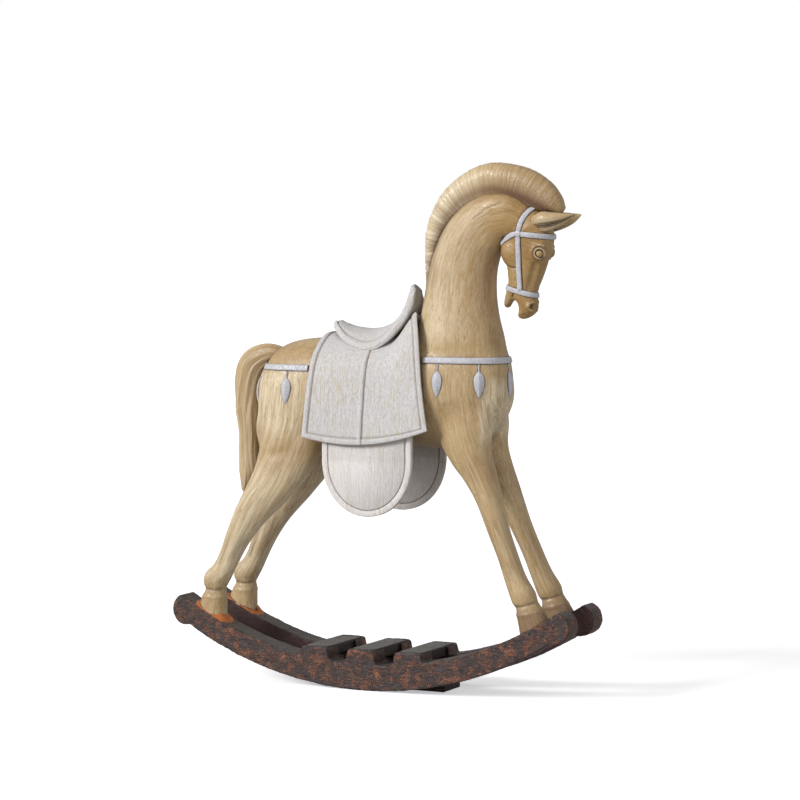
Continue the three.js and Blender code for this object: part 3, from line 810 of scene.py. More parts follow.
BODY_LINES: Lines = (
    (((97, 404.5), (108.5, 413.5), (122, 418.5)), 1.1, -0.35, 0.3),
    (((113, 407.5), (124, 410.5), (135, 410.8)), 1.1, -0.3, 0.2),
    (((-58, 222), (-72, 206), (-86, 200)), 5.0, -0.8, 0.0),
    (((60, 214), (74, 226), (80, 244)), 5.5, -0.9, 0.0),
    (((102, 232), (108, 214), (110, 200)), 3.6, -0.7, 0.0),
    (((-118, 150), (-129, 126), (-138, 103)), 1.6, -0.7, 0.25),
    (((-98, 160), (-114, 132), (-126, 108)), 1.8, -0.5, 0.1),
    (((106, 172), (119, 142), (131, 112)), 1.5, -0.55, 0.2),
    (((-157, 80), (-147, 78.5), (-136, 79.5)), 1.1, -0.6, 0.6),
    (((142, 80), (151.5, 81.5), (161, 85)), 1.1, -0.65, 0.6),
    (((-124, 152), (-133, 127), (-141, 104)), 2.2, 0.7, 0.0),
    (((-108, 166), (-121, 134), (-131, 108)), 2.6, 0.6, 0.0),
    (((114, 172), (127, 140), (138, 112)), 2.6, 0.5, 0.0),
    (((-160, 73), (-147, 71.5), (-136, 73)), 1.6, 0.5, 0.0),
    (((143, 73), (154, 74), (165, 78)), 1.6, 0.5, 0.0))
HEAD_LINES: Lines = (
    (((119, 371), (122, 366.5), (127, 364.2), (134, 363.4)), 1.0, -0.8, 0.5),
    (((154, 368), (150.5, 355), (147.5, 345)), 1.6, 0.9, 0.0),
    (((150, 366), (146, 355), (143, 346)), 2.6, -1.0, 0.25),
    (((151, 384), (157, 383.5), (161.5, 379)), 1.4, 0.7, 0.0),
    (((136, 392), (146, 398), (154, 402)), 3.0, 0.5, 0.0),
    (((147.4, 334.8), (144.2, 333.4), (143.2, 330.4), (145.4, 327.8)), 1.5, 0.9, 0.0),
    (((146.6, 332.4), (145.8, 330.2)), 1.3, -1.6, 0.85),
    (((127.6, 339.5), (129.2, 343.5)), 0.8, -0.7, 0.8),
    (((131.6, 325), (135, 323.6), (139.5, 324.6)), 0.8, -0.45, 0.5),
    (((118.5, 333.5), (121.5, 331.5), (125, 332.5)), 0.8, -0.45, 0.5))


def carve_lines(skin: Skin, lines: Lines) -> np.ndarray:
    """Cuts folds and raises ridges along drawn lines, on both sides of the horse.

    Args:
        skin: what to carve.
        lines: the lines.

    Returns:
        How dark each fold is painted, for each vertex: glaze and painted shade in the folds.
    """
    outer = np.maximum(ramp(np.abs(skin.normals()[:, 1]), 0.15, 0.6), 0.2)
    amount, dark = np.zeros(len(skin.co)), np.zeros(len(skin.co))
    for points, width, height, share in lines:
        near = near_line(skin.co, points, width) * outer
        amount += height * near
        dark = np.maximum(dark, share * near)
    skin.push(amount)
    skin.write()
    return dark


def mirrored(stations: Stations, side: Side) -> Stations:
    """A limb's stations on one side of the horse."""
    return tuple((x, y * side.value, z, deep, wide) for x, y, z, deep, wide in stations)


@dataclass
class Deck:
    """The hollow upper curve of the runners, on which the hooves stand."""

    depth: float = 22.3
    reach: float = 155.0
    rise: float = 38.7

    @property
    def radius(self) -> float:
        """The curve's radius."""
        return (self.reach ** 2 + self.rise ** 2) / (2 * self.rise)

    def height(self, x: float) -> float:
        """How high the deck is at x."""
        return self.depth + self.radius - math.sqrt(self.radius ** 2 - x ** 2)

    def upright(self, x: float) -> Vector:
        """The direction square to the deck at x."""
        return Vector((-x, 0, math.sqrt(self.radius ** 2 - x ** 2))).normalized()


@dataclass
class CarvedHorse:
    """The trunk, neck, head and legs: blocks glued up, carved as one and sawn apart along the glue lines."""

    voxel: float = 1.0
    neck_joint: float = 285.3
    neck_joint_back: float = 46.0
    front_leg_joint: float = 198.0
    rear_leg_joint: float = 190.0
    throat: tuple[float, float] = (121.5, 387.0)
    head_back: float = 116.5
    saw_reach: float = 9.0
    hooves: tuple[float, float] = (-149.3, 160.5)
    hoof_sunk: float = 0.45
    deck: Deck = field(default_factory=Deck)
    skin: Skin = field(init=False)
    surface: BVHTree = field(init=False)

    lumps = (  # centre, then radii, on both sides: muscles and bones that stand proud
        ((-80, 16, 252), (30, 16, 36)), ((-91, 16, 222), (22, 13, 28)), ((88, 15, 262), (24, 17, 38)),
        ((110, 9, 258), (13, 13, 24)), ((130, 6, 377), (12.6, 8.2, 14.2)), ((153.5, 9, 383), (5.5, 4, 5)),
        ((151.5, 9.3, 377.5), (8.4, 4.6, 8.4)), ((143, 4.5, 330.8), (6.0, 4.8, 6)),
        ((121.2, 1.5, 332.4), (4, 4.4, 4.4)), ((134.6, 3, 323.5), (4.2, 4.8, 4)))

    def rough_out(self) -> None:
        """Blocks the figure out from its limbs and muscles, and welds it into one skin."""
        bm = bmesh.new()
        limbs = [TORSO, NECK, HEAD, JAW]
        limbs += [mirrored(s, side) for side in Side for s in (REAR_LEG, FRONT_LEG)]
        for stations in limbs:
            sweep(bm, round_ring(40, 2.2), sections_along(spaced_path(stations, 6)))
        for centre, radii in self.lumps:
            for side in Side:
                spot = Matrix.Translation((centre[0], centre[1] * side.value, centre[2]))
                shape = spot @ Matrix.Diagonal((*radii, 1.0))
                bmesh.ops.create_uvsphere(bm, u_segments=28, v_segments=18, radius=1.0, matrix=shape)
        bmesh.ops.recalc_face_normals(bm, faces=bm.faces)
        self.skin = Skin(remeshed(bm, self.voxel))

    def carve(self) -> None:
        """Smooths the joins and cuts the folds and tendons of the body and legs."""
        skin = self.skin
        x, z = skin.co[:, 0], skin.co[:, 2]
        skin.relax(10, 1 - 0.8 * ramp(x, 106, 114) * (1 - ramp(z, 342, 352)))
        skin.relax(60, ramp(z, 178, 214) * (1 - ramp(z, 325, 350)))
        self.paint_guides(carve_lines(skin, BODY_LINES))

    def face(self, mesh: Mesh) -> None:
        """Cuts the mouth, nostrils, jowls and eye sockets in the head's finer mesh."""
        skin = Skin(mesh)
        line = carve_lines(skin, HEAD_LINES)
        outer = ramp(np.abs(skin.normals()[:, 1]), 0.15, 0.6)
        off = np.stack([skin.co[:, 0], np.abs(skin.co[:, 1]), skin.co[:, 2]], axis=1) - EYE
        far = np.linalg.norm(off * (1, 0.5, 1), axis=1)
        brow = np.exp(-((far - 6.6) / 1.6) ** 2) * ramp(off[:, 2], -4, 4)
        skin.push((0.7 * brow - 1.2 * np.exp(-(far / 4.2) ** 4)) * outer)
        # Painted shade: dark rings in the gap round the bead and along the lids' outer edge.
        ring = np.maximum(np.exp(-((far - 3.6) / 0.8) ** 2), 0.55 * np.exp(-((far - 5.9) / 0.6) ** 2))
        skin.write()
        skin.mark("line", np.maximum(line, ring * outer))

    def paint_guides(self, line: np.ndarray) -> None:
        """Keeps the lie of the grain and the shares of pale veil and brown on the skin. The veil is bleached
        streaks, and painted light that lightens the shaded chest, the haunch and the back of the neck; the
        brown is painted shade on the throat, along the mane's root and under the belly, and the front hooves'
        own dark paint.

        Args:
            line: how dark the glaze is in each carved line.
        """
        skin, co, out = self.skin, self.skin.co, self.skin.normals()
        x, z, outer = co[:, 0], co[:, 2], ramp(np.abs(out[:, 1]), 0.15, 0.6)
        skin.mark("grain", self.lie_of_grain(co))
        on_neck = ramp(z, 280, 310) * (1 - ramp(x + (z - 330) * 0.25, 118, 132))
        legs = (1 - ramp(z, 170, 225)) * (0.75 - 0.42 * ramp(x, -30, 40)) * (0.4 + 0.6 * ramp(z, 74, 100))
        # Painted light: the veil lightens the chest, which lies in shade, and the back of the neck and the
        # haunch, on the lit side.
        chest = ramp(x, 100, 112) * ramp(z, 205, 225) * (1 - ramp(z, 262, 280))
        bleached = np.maximum.reduce([legs, 0.8 * chest, (0.58 - 0.36 * ramp(x, 58, 102)) * on_neck])
        haunch = ramp(-x, 40, 72) * ramp(z, 200, 235) * (1 - ramp(z, 262, 280))
        bleached = np.maximum(bleached, 0.25 * (1 - ramp(z, 290, 310)) + 0.65 * haunch)
        skin.mark("bleached", bleached)
        # Painted shade: brown on the throat, along the mane's root and under the belly. The front hooves'
        # brown is their own dark paint.
        throat = near_line(co, ((122, 296), (117, 325), (111, 352), (114, 374)), 8) * outer
        crest = near_line(co, MANE_ROOT, 5.5)
        belly = ramp(-out[:, 2], 0.2, 0.9) * ramp(z, 185, 205) * (1 - ramp(z, 250, 270))
        hoof = (1 - ramp(z, 72, 84)) * ramp(x, 0, 10)
        skin.mark("glaze", np.clip(0.5 * throat + 0.6 * crest + 0.45 * belly + 0.9 * hoof, 0, 1))
        skin.mark("line", line)

    @staticmethod
    def lie_of_grain(co: np.ndarray) -> np.ndarray:
        """Bends the grain's coordinates so that its marks run down the legs and round the neck.

        Args:
            co: vertices in millimetres.

        Returns:
            Coordinates whose third axis runs along the marks.
        """
        x, y, z = co.T
        foot_x, foot_z = NECK[0][0], NECK[0][2]
        legs = {}
        for name, stations in (("rear", REAR_LEG), ("front", FRONT_LEG)):
            rows = np.array(stations)[::-1]
            legs[name] = np.interp(z, rows[:, 2], rows[:, 0]) - rows[-1, 0]
        share = ramp(x, -30, 40)
        straight = x - legs["rear"] * (1 - share) - legs["front"] * share
        upper = z > 270
        path = spaced_path(NECK, 24)
        steps = np.linalg.norm(np.diff(path[:, [0, 2]], axis=0), axis=1)
        length = np.concatenate([[0], np.cumsum(steps)])
        slope = np.gradient(path[:, [0, 2]], axis=0)
        slope /= np.linalg.norm(slope, axis=1)[:, None]
        xu, zu = x[upper], z[upper]
        away = (xu[:, None] - path[None, :, 0]) ** 2 + (zu[:, None] - path[None, :, 2]) ** 2
        nearest = away.argmin(axis=1)
        dx, dz = xu - path[nearest, 0], zu - path[nearest, 2]
        t = slope[nearest]
        neck = ramp(zu, 276, 300)
        first, last = straight.copy(), z.copy()
        first[upper] += (dx * t[:, 1] - dz * t[:, 0] + foot_x - straight[upper]) * neck
        last[upper] += (length[nearest] + dx * t[:, 0] + dz * t[:, 1] + foot_z - zu) * neck
        return np.stack([first, y, last], axis=1)

    @staticmethod
    def around(bm: BM, near: Callable[[Vector], bool]) -> list:
        """The faces whose middles pass a test, with their edges and vertices."""
        faces = [f for f in bm.faces if near(f.calc_center_median())]
        return faces + list({e for f in faces for e in f.edges}) + list({v for f in faces for v in f.verts})

    def cut_joints(self, bm: BM, throat: Vector, seam: Vector) -> None:
        """Cuts the skin along every glue line, and the hooves off at their soles.

        Args:
            bm: the whole skin.
            throat: a point on the head's glue line.
            seam: the direction square to that line.
        """
        ahead, up, reach = Vector((1, 0, 0)), Vector((0, 0, 1)), self.saw_reach
        neck, neck_back = self.neck_joint, self.neck_joint_back
        front, rear = self.front_leg_joint, self.rear_leg_joint
        cuts = ((up * neck, up, lambda c: c.x > 40 and abs(c.z - neck) < reach),
                (ahead * neck_back, ahead, lambda c: c.z > 280 and abs(c.x - neck_back) < reach),
                (up * front, up, lambda c: c.x > 0 and abs(c.z - front) < reach),
                (up * rear, up, lambda c: c.x < 0 and abs(c.z - rear) < reach),
                (throat, seam, lambda c: c.x > 110 and c.z > 380),
                (ahead * self.head_back, ahead, lambda c: c.x > 110 and 312 < c.z < 388))
        for point, direction, near in cuts:
            bmesh.ops.bisect_plane(bm, geom=self.around(bm, near), dist=1e-4, plane_co=point,
                                   plane_no=direction)
        for x in self.hooves:
            upright = self.deck.upright(x)
            sole = Vector((x, 0, self.deck.height(x))) - upright * self.hoof_sunk
            for side in Side:
                geom = self.around(bm, lambda c: c.z < 90 and (c.x > 0) == (x > 0) and c.y * side.value > 0)
                bmesh.ops.bisect_plane(bm, geom=geom, dist=1e-4, plane_co=sole, plane_no=upright,
                                       clear_inner=True)

    def block(self, whole: BM, number: int, name: str) -> Object:
        """Takes one block out of the cut skin and closes it where it was cut.

        Args:
            whole: the cut skin, with a block's number as each face's material.
            number: the block's number.
            name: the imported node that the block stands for.

        Returns:
            The finished block.
        """
        part = whole.copy()
        away = [f for f in part.faces if f.material_index != number]
        bmesh.ops.delete(part, geom=away, context="FACES")
        if name == "head":
            bmesh.ops.subdivide_edges(part, edges=part.edges, cuts=1, use_grid_fill=True)
            for _ in range(2):
                inside = [v for v in part.verts if not v.is_boundary]
                bmesh.ops.smooth_vert(part, verts=inside, factor=0.5, use_axis_x=True, use_axis_y=True,
                                      use_axis_z=True)
        bmesh.ops.holes_fill(part, edges=[e for e in part.edges if e.is_boundary], sides=0)
        for face in part.faces:
            face.material_index = 0
        bmesh.ops.recalc_face_normals(part, faces=part.faces)
        mesh = mesh_of(part, name)
        if name == "head":
            self.face(mesh)
        return make_piece(mesh, "carved_" + name, HORSE_WOOD, [name])

    def saw_apart(self) -> list[Object]:
        """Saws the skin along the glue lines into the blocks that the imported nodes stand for."""
        self.skin.write()
        bm = bmesh.new()
        bm.from_mesh(self.skin.mesh)
        self.surface = BVHTree.FromBMesh(bm)
        seam = Vector((-55.5, 0, 58.5)).normalized()
        throat = Vector((self.throat[0], 0, self.throat[1]))
        self.cut_joints(bm, throat, seam)
        names: list[str] = []
        for face in bm.faces:
            name = self.block_of(face.calc_center_median(), throat, seam)
            if name not in names:
                names.append(name)
            face.material_index = names.index(name)
        pieces = [self.block(bm, number, name) for number, name in enumerate(names)]
        bm.free()
        return pieces

    def block_of(self, c: Vector, throat: Vector, seam: Vector) -> str:
        """The name of the block that a point of the skin belongs to.

        Args:
            c: the point.
            throat: a point on the head's glue line.
            seam: the direction square to that line.

        Returns:
            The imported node's name.
        """
        side = Side.LEFT if c.y > 0 else Side.RIGHT
        if c.x > self.head_back and c.z > 312 and (c - throat).dot(seam) < 0:
            return "head"
        if c.x > self.neck_joint_back and c.z > self.neck_joint:
            return "neck"
        if c.x > 0 and c.z < self.front_leg_joint:
            return f"front_leg_{side.word}"
        if c.x < 0 and c.z < self.rear_leg_joint:
            return f"rear_leg_{side.word}"
        return "trunk"


# ---------------------------------------------------------------- hair, ears and eyes


def grooved(bm: BM, depth: Callable[[float, float, Vector], float]) -> None:
    """Moves the vertices of a swept shape in or out.

    Args:
        bm: the shape.
        depth: the move in millimetres for how far along and around the sweep a vertex lies, and its place.
    """
    bm.normal_update()
    along, around = bm.verts.layers.float["along"], bm.verts.layers.float["around"]
    moves = [(v, v.normal * depth(v[along], v[around], v.co)) for v in bm.verts]
    for v, move in moves:
        v.co += move


def mark_hair(mesh: Mesh, girth: float, lengthwise: bool, glaze: Callable[[np.ndarray], np.ndarray],
              bleached: Callable[[np.ndarray], np.ndarray]) -> None:
    """Keeps the lie of the hair on a swept mesh, for the brush marks to follow.

    Args:
        mesh: the mesh, with the layers that sweep leaves.
        girth: the distance round the sweep, in millimetres.
        lengthwise: whether the hair runs along the sweep, and not round it.
        glaze: the share of brown for where vertices lie; on the mane and tail it is painted shade.
        bleached: the share of pale veil for where vertices lie.
    """
    skin, along = Skin(mesh), kept(mesh, "along")
    across = np.abs(kept(mesh, "around") - 0.5) * girth
    first, last = (across, along) if lengthwise else (along, across)
    skin.mark("grain", np.stack([first, np.zeros(len(first)), last], axis=1))
    skin.mark("glaze", glaze(skin.co))
    skin.mark("bleached", bleached(skin.co))


@dataclass
class Hair:
    """The roached mane and the tail, each carved with strands."""

    strand: float = 1.5
    mane_depth: float = 0.6
    tail_depth: float = 1.15

    def build(self) -> list[Object]:
        """Carves both and returns them."""
        return [self.mane(), self.tail()]

    def mane(self) -> Object:
        """The crest of hair along the neck, with strands that stand out from its root."""
        bm = swept(round_ring(72, 2.5), sections_along(spaced_path(MANE, 44)))

        def strands(along: float, around: float, co: Vector) -> float:
            """Fine ridges, deepest at the back of the neck and almost gone by the forelock."""
            fade = 1.0 - 0.75 * min(max((co.x - 70) / 60, 0), 1)
            sway = 1.6 * noise.noise((along * 0.05, abs(around - 0.5) * 9, 3.0))
            ridge = noise.noise(((along + sway * 2) / self.strand, abs(around - 0.5) * 3.0, 0.5))
            coarse = noise.noise((along / 7.0, abs(around - 0.5) * 4.0, 9.0))
            return self.mane_depth * fade * (ridge + 0.5 * coarse)

        grooved(bm, strands)
        mesh = mesh_of(bm, "mane")
        # Painted shade along the mane's root, wider towards the forelock; paler towards the back.
        mark_hair(mesh, 80.0, False,
                  lambda co: (0.85 * near_line(co, MANE_ROOT, 5.0)
                              + 0.55 * ramp(co[:, 0], 85, 140) * near_line(co, MANE_ROOT, 11.0)),
                  lambda co: 1.0 - 0.75 * ramp(co[:, 0], 60, 120))
        return make_piece(mesh, "carved_mane", HORSE_WOOD, ["mane"])

    def tail(self) -> Object:
        """The tail, with strands that run down it in a slow twist."""
        bm = swept(round_ring(72, 2.1), sections_along(spaced_path(TAIL, 22)))

        def strands(along: float, around: float, co: Vector) -> float:
            """Ridges along the tail that wander a little from side to side."""
            wander = 0.05 * math.sin(along * 0.045) + 0.03 * noise.noise((along * 0.03, 0.0, 1.0))
            turn = 2 * math.pi * (around + wander)
            fine = noise.noise((math.cos(turn) * 5.5, math.sin(turn) * 5.5, along * 0.02))
            grow = min(along / 30, 1.0)
            return self.tail_depth * grow * (fine + 0.35 * math.sin(turn * 5 + along * 0.02))

        grooved(bm, strands)
        mesh = mesh_of(bm, "tail")
        # Painted shade on the tail's front face, in the groove against the rump.
        mark_hair(mesh, 60.0, True,
                  lambda co: 0.3 * ramp(co[:, 0], -128, -116) * (1 - ramp(co[:, 2], 262, 278)),
                  lambda co: 0.55 - 0.2 * ramp(co[:, 2], 200, 260))
        return make_piece(mesh, "carved_tail", HORSE_WOOD, ["tail"])


@dataclass
class EarsAndEyes:
    """The two ears, laid forward, and the two glazed eye beads in their lids."""

    surface: BVHTree
    stations: Stations = (
        (149.5, 9.8, 401, 6.6, 4.6), (157.5, 10.8, 402.2, 8.8, 6.8), (166, 10.8, 403.2, 7.4, 6.2),
        (175, 9.8, 405, 5, 4.2), (181, 8.8, 407, 2.4, 1.8), (184.5, 8, 408.4, 0.6, 0.5))
    inset: float = 0.4
    bead: float = 3.2
    lid: float = 4.2
    lid_thickness: float = 0.9

    def build(self) -> list[Object]:
        """Carves an ear, a bead and its lids on each side."""
        made = []
        for side in Side:
            made += [self.ear(side), self.eyeball(side), self.lids(side)]
        return made

    @staticmethod
    def evenly(share: float) -> Callable[[np.ndarray], np.ndarray]:
        """The same share for every vertex."""
        return lambda co: np.full(len(co), share)

    @staticmethod
    def opening(side: Side) -> float:
        """How far round the ear its hollow lies: on its lower and outer face."""
        return math.radians(side.value * 48)

    def ear(self, side: Side) -> Object:
        """One ear: a pointed shell, hollow on its outer and lower face, with two folds inside."""
        ring = []
        for k in range(48):
            turn = 2 * math.pi * k / 48
            off = math.remainder(turn - self.opening(side), 2 * math.pi)
            reach = 1 - 0.7 * math.exp(-(off / 0.6) ** 2) + 0.24 * math.exp(-((abs(off) - 0.16) / 0.12) ** 2)
            ring.append((reach * math.cos(turn), reach * math.sin(turn)))
        frames = sections_along(spaced_path(mirrored(self.stations, side), 12))
        mesh = mesh_of(swept(ring, frames), "ear")
        # The ear is darker towards its lower edge.
        mark_hair(mesh, 40.0, True, lambda co: 0.3 * (1 - ramp(co[:, 2], 398, 404)), self.evenly(0.3))
        skin = Skin(mesh)
        turns = kept(mesh, "around") * 2 * math.pi - self.opening(side)
        off = np.abs((turns + math.pi) % (2 * math.pi) - math.pi)
        # Glaze and painted shade in the ear's two folds.
        folds = np.maximum(0.85 * np.exp(-(off / 0.1) ** 2), 0.7 * np.exp(-((off - 0.38) / 0.12) ** 2))
        skin.mark("line", ramp(skin.co[:, 0], 157, 163) * folds)
        return make_piece(mesh, f"carved_ear_{side.word}", HORSE_WOOD, [f"ear_{side.word}"])

    def facing(self, side: Side, sunk: float) -> Matrix:
        """The eye's own frame: its third axis looks out of the head.

        Args:
            side: which eye.
            sunk: how far in from the eye's place it sits.

        Returns:
            The frame.
        """
        out = Vector((0.34, side.value, 0.02)).normalized()
        up = (Vector((0, 0, 1)) - out * out.z).normalized()
        place = Vector((EYE[0], (EYE[1] - self.inset) * side.value, EYE[2]))
        return framed(up.cross(out), up, out, place - out * sunk)

    def eyeball(self, side: Side) -> Object:
        """One bead: a dome on a flat back, spun about its axis, with a ring cut round it."""
        turns = [math.radians(a) for a in range(0, 91, 9)]
        profile = [(self.bead * math.sin(a), self.bead * 0.82 * math.cos(a)) for a in turns]
        profile = [(r, h - 0.28 * math.exp(-((r - self.bead * 0.62) / 0.22) ** 2)) for r, h in profile]
        bead = spun(profile + [(self.bead, -1.5), (0, -1.5)], 40, self.facing(side, 0.3))
        return make_piece(mesh_of(bead, "eye"), f"eye_bead_{side.word}", EYE_PAINT,
                          [f"eye_{side.word}"])

    def lids(self, side: Side) -> Object:
        """The lids round one eye: a carved rim that comes to a point at the inner corner."""
        frames = []
        place = self.facing(side, 0.35)
        outward, out = Vector((0, 0, 1)), place.col[2].xyz
        corner = math.radians(-62 if side is Side.RIGHT else -118)
        count = 72
        points = []
        for k in range(count):
            turn = 2 * math.pi * k / count
            off = math.remainder(turn - corner, 2 * math.pi)
            reach = self.lid + 1.6 * math.exp(-(off / 0.34) ** 2)
            point = Vector((reach * math.cos(turn), reach * math.sin(turn), 0.0))
            hit = self.surface.ray_cast(place @ point + out * self.lid, -out, 3 * self.lid)[3]
            points.append(point + Vector((0, 0, 0.0 if hit is None else self.lid - hit)))
        for k, point in enumerate(points):
            along = (points[(k + 1) % count] - points[k - 1]).normalized()
            frames.append(place @ framed(along.cross(outward) * self.lid_thickness, outward, along, point))
        mesh = mesh_of(swept(round_ring(14), frames, closed=True), "lids")
        mark_hair(mesh, 5.0, True, self.evenly(0.1), self.evenly(0.2))
        return make_piece(mesh, f"eyelids_{side.word}", HORSE_WOOD)


# ---------------------------------------------------------------- tack

STRAP_PROFILE: Ring = (
    (-1, -0.9), (-1, 0.35), (-0.94, 0.72), (-0.74, 0.95), (-0.3, 1.04), (0.3, 1.04), (0.74, 0.95),
    (0.94, 0.72), (1, 0.35), (1, -0.9))
LEAF_PROFILE: Ring = (
    (-1, -0.7), (-1, 0.1), (-0.84, 0.38), (-0.45, 0.72), (-0.1, 0.96), (0, 1.02), (0.1, 0.96), (0.45, 0.72),
    (0.84, 0.38), (1, 0.1), (1, -0.7))


def laid_frames(hits: Sequence[Hit], half_width: Callable[[float], float], height: Callable[[float], float],
                soften: int = 3) -> list[Matrix]:
    """Frames for a strip that lies on a surface.

    Args:
        hits: points on the surface and the surface's outward directions there.
        half_width: the strip's half width, in millimetres, for the share of its length from 0 to 1.
        height: its height above the surface, likewise.
        soften: how often points and directions are averaged with their neighbours.

    Returns:
        One frame for each point: across the strip, out of the surface, along the strip.
    """
    points = np.array([h[0] for h in hits])
    outs = np.array([h[1] for h in hits])
    for _ in range(soften):
        points[1:-1] = 0.25 * points[:-2] + 0.5 * points[1:-1] + 0.25 * points[2:]
        outs[1:-1] = 0.25 * outs[:-2] + 0.5 * outs[1:-1] + 0.25 * outs[2:]
    slopes = np.gradient(points, axis=0)
    frames = []
    for k, (point, out, slope) in enumerate(zip(points, outs, slopes)):
        share = k / (len(points) - 1)
        along = Vector(slope).normalized()
        up = (Vector(out) - along * along.dot(Vector(out))).normalized()
        frames.append(framed(up.cross(along) * half_width(share), up * height(share), along, Vector(point)))
    return frames


def darken_walls(mesh: Mesh, points: int) -> None:
    """Keeps a dark line along both side walls of a strip, glaze and painted shade where it meets the figure.

    Args:
        mesh: the strip's mesh, with the layers that sweep leaves.
        points: how many points its section has.
    """
    place = np.round(kept(mesh, "around") * points)
    Skin(mesh).mark("line", 0.9 * ((place <= 1) | (place >= points - 2)))


@dataclass
class Tack:
    """Painted straps, leaf drops and bridle, carved in low relief on the figure."""

    surface: BVHTree
    strap: float = 2.8
    strap_height: float = 1.5
    bridle: float = 2.3
    bridle_height: float = 1.45
    breast: float = 285.3
    breech: float = 276.0
    cloth_front: float = 57.4
    cloth_rear: float = -50.2
    leaf_length: float = 23.0
    leaf_half_width: float = 5.0
    leaf_height: float = 2.3
    cord: float = 6.0
    crossing: tuple[float, float] = (137.0, 392.5)

    def touch(self, start: Vector, direction: Vector) -> Optional[Hit]:
        """Where a ray meets the figure."""
        point, normal, _, _ = self.surface.ray_cast(start, direction.normalized(), 400)
        if point is None:
            return None
        return point, normal if normal.dot(direction) < 0 else -normal

    def from_side(self, line: Sequence[tuple[float, float]], side: Side, step: float = 1.2) -> list[Hit]:
        """Follows a line drawn on the side view over the figure.

        Args:
            line: points in X and Z.
            side: which side of the figure.
            step: how far apart the found points lie, in millimetres.

        Returns:
            The points found.
        """
        rows = np.array(line, float)
        if len(rows) > 2:
            padded = tuple((x, 0.0, z, 1.0, 1.0) for x, z in rows)
            rows = spaced_path(padded, 8)[:, [0, 2]]
        gaps = np.linalg.norm(np.diff(rows, axis=0), axis=1)
        total = np.concatenate([[0], np.cumsum(gaps)])
        spots = np.linspace(0, total[-1], max(4, int(total[-1] / step)))
        hits = []
        for s in spots:
            x, z = np.interp(s, total, rows[:, 0]), np.interp(s, total, rows[:, 1])
            hit = self.touch(Vector((x, 90 * side.value, z)), Vector((0, -side.value, 0)))
            if hit is not None:
                hits.append(hit)
        return hits

    def round_about(self, centre: Vector, ahead: Vector, turns: Sequence[float],
                    start: float = 150) -> list[Hit]:
        """Follows the figure's outline in a plane round a centre.

        Args:
            centre: a point inside the figure.
            ahead: the direction in the plane from which the turns are counted, towards +Y.
            turns: the turns in radians.
            start: how far outside the centre to start, in millimetres.

        Returns:
            The points found.
        """
        hits = []
        for turn in turns:
            out = ahead.normalized() * math.cos(turn) + Vector((0, 1, 0)) * math.sin(turn)
            hit = self.touch(centre + out * start, -out)
            if hit is not None:
                hits.append(hit)
        return hits

    def strip(self, name: str, hits: Sequence[Hit], half: float, height: float, closed: bool = False,
              replaces: Sequence[str] = ()) -> Object:
        """Makes one strap from the points that it lies on.

        Args:
            name: the piece's name.
            hits: where it lies.
            half: its half width.
            height: how far it stands out.
            closed: whether it goes all the way round.
            replaces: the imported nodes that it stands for.

        Returns:
            The strap.
        """
        wobble = len(name) * 1.7
        frames = laid_frames(hits, lambda t: half * (1 + 0.05 * noise.noise((t * 14, wobble, 0))),
                             lambda t: height * (1 + 0.10 * noise.noise((t * 18, wobble, 5))))
        mesh = mesh_of(swept(STRAP_PROFILE, frames, closed), name)
        darken_walls(mesh, len(STRAP_PROFILE))
        return make_piece(mesh, name, STRAP_PAINT, replaces)

    def leaf(self, name: str, top: Hit, replaces: Sequence[str]) -> Object:
        """One leaf drop: a short cord, and a ridged leaf that follows the surface below it.

        Args:
            name: the piece's name.
            top: where the cord leaves the strap.
            replaces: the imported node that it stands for.

        Returns:
            The leaf drop.
        """
        out = Vector((top[1].x, top[1].y, 0)).normalized()
        count = 44
        total = self.cord + self.leaf_length
        hits = []
        for k in range(count):
            start = Vector((top[0].x, top[0].y, top[0].z - total * k / (count - 1))) + out * 40
            hit = self.touch(start, -out)
            if hit is not None:
                hits.append(hit)
        neck = self.cord / total

        def half(share: float) -> float:
            """A thin cord, then a leaf that is widest above its middle."""
            if share < neck:
                return 0.75
            t = (share - neck) / (1 - neck)
            return max(0.75 * (1 - t), self.leaf_half_width * math.sin(math.pi * t ** 0.72) ** 0.85, 0.15)

        def height(share: float) -> float:
            """A low cord, then a leaf that swells."""
            if share < neck:
                return 1.0
            t = (share - neck) / (1 - neck)
            return max(1.0 * (1 - t), self.leaf_height * math.sin(math.pi * t ** 0.8) ** 0.6, 0.3)

        mesh = mesh_of(swept(LEAF_PROFILE, laid_frames(hits, half, height)), name)
        darken_walls(mesh, len(LEAF_PROFILE))
        return make_piece(mesh, name, STRAP_PAINT, replaces)

    def build(self) -> list[Object]:
        """Lays every strap, leaf and band."""
        x, half, high = Vector((1, 0, 0)), self.strap, self.strap_height
        hits = self.round_about(Vector((55, 0, self.breast)), x, np.radians(np.linspace(-89, 89, 150)))
        hits = [h for h in hits if h[0].x > self.cloth_front - 3]
        made = [self.strip("breast_band", hits, half, high, replaces=["breast_strap"])]
        hits = self.round_about(Vector((-55, 0, self.breech)), -x, np.radians(np.linspace(-92, 92, 130)))
        hits = [h for h in hits if h[0].x < self.cloth_rear + 3]
        made.append(self.strip("breeching_band", hits, half, high, replaces=["breeching_strap"]))
        return made + self.leaves() + self.bridle_straps()

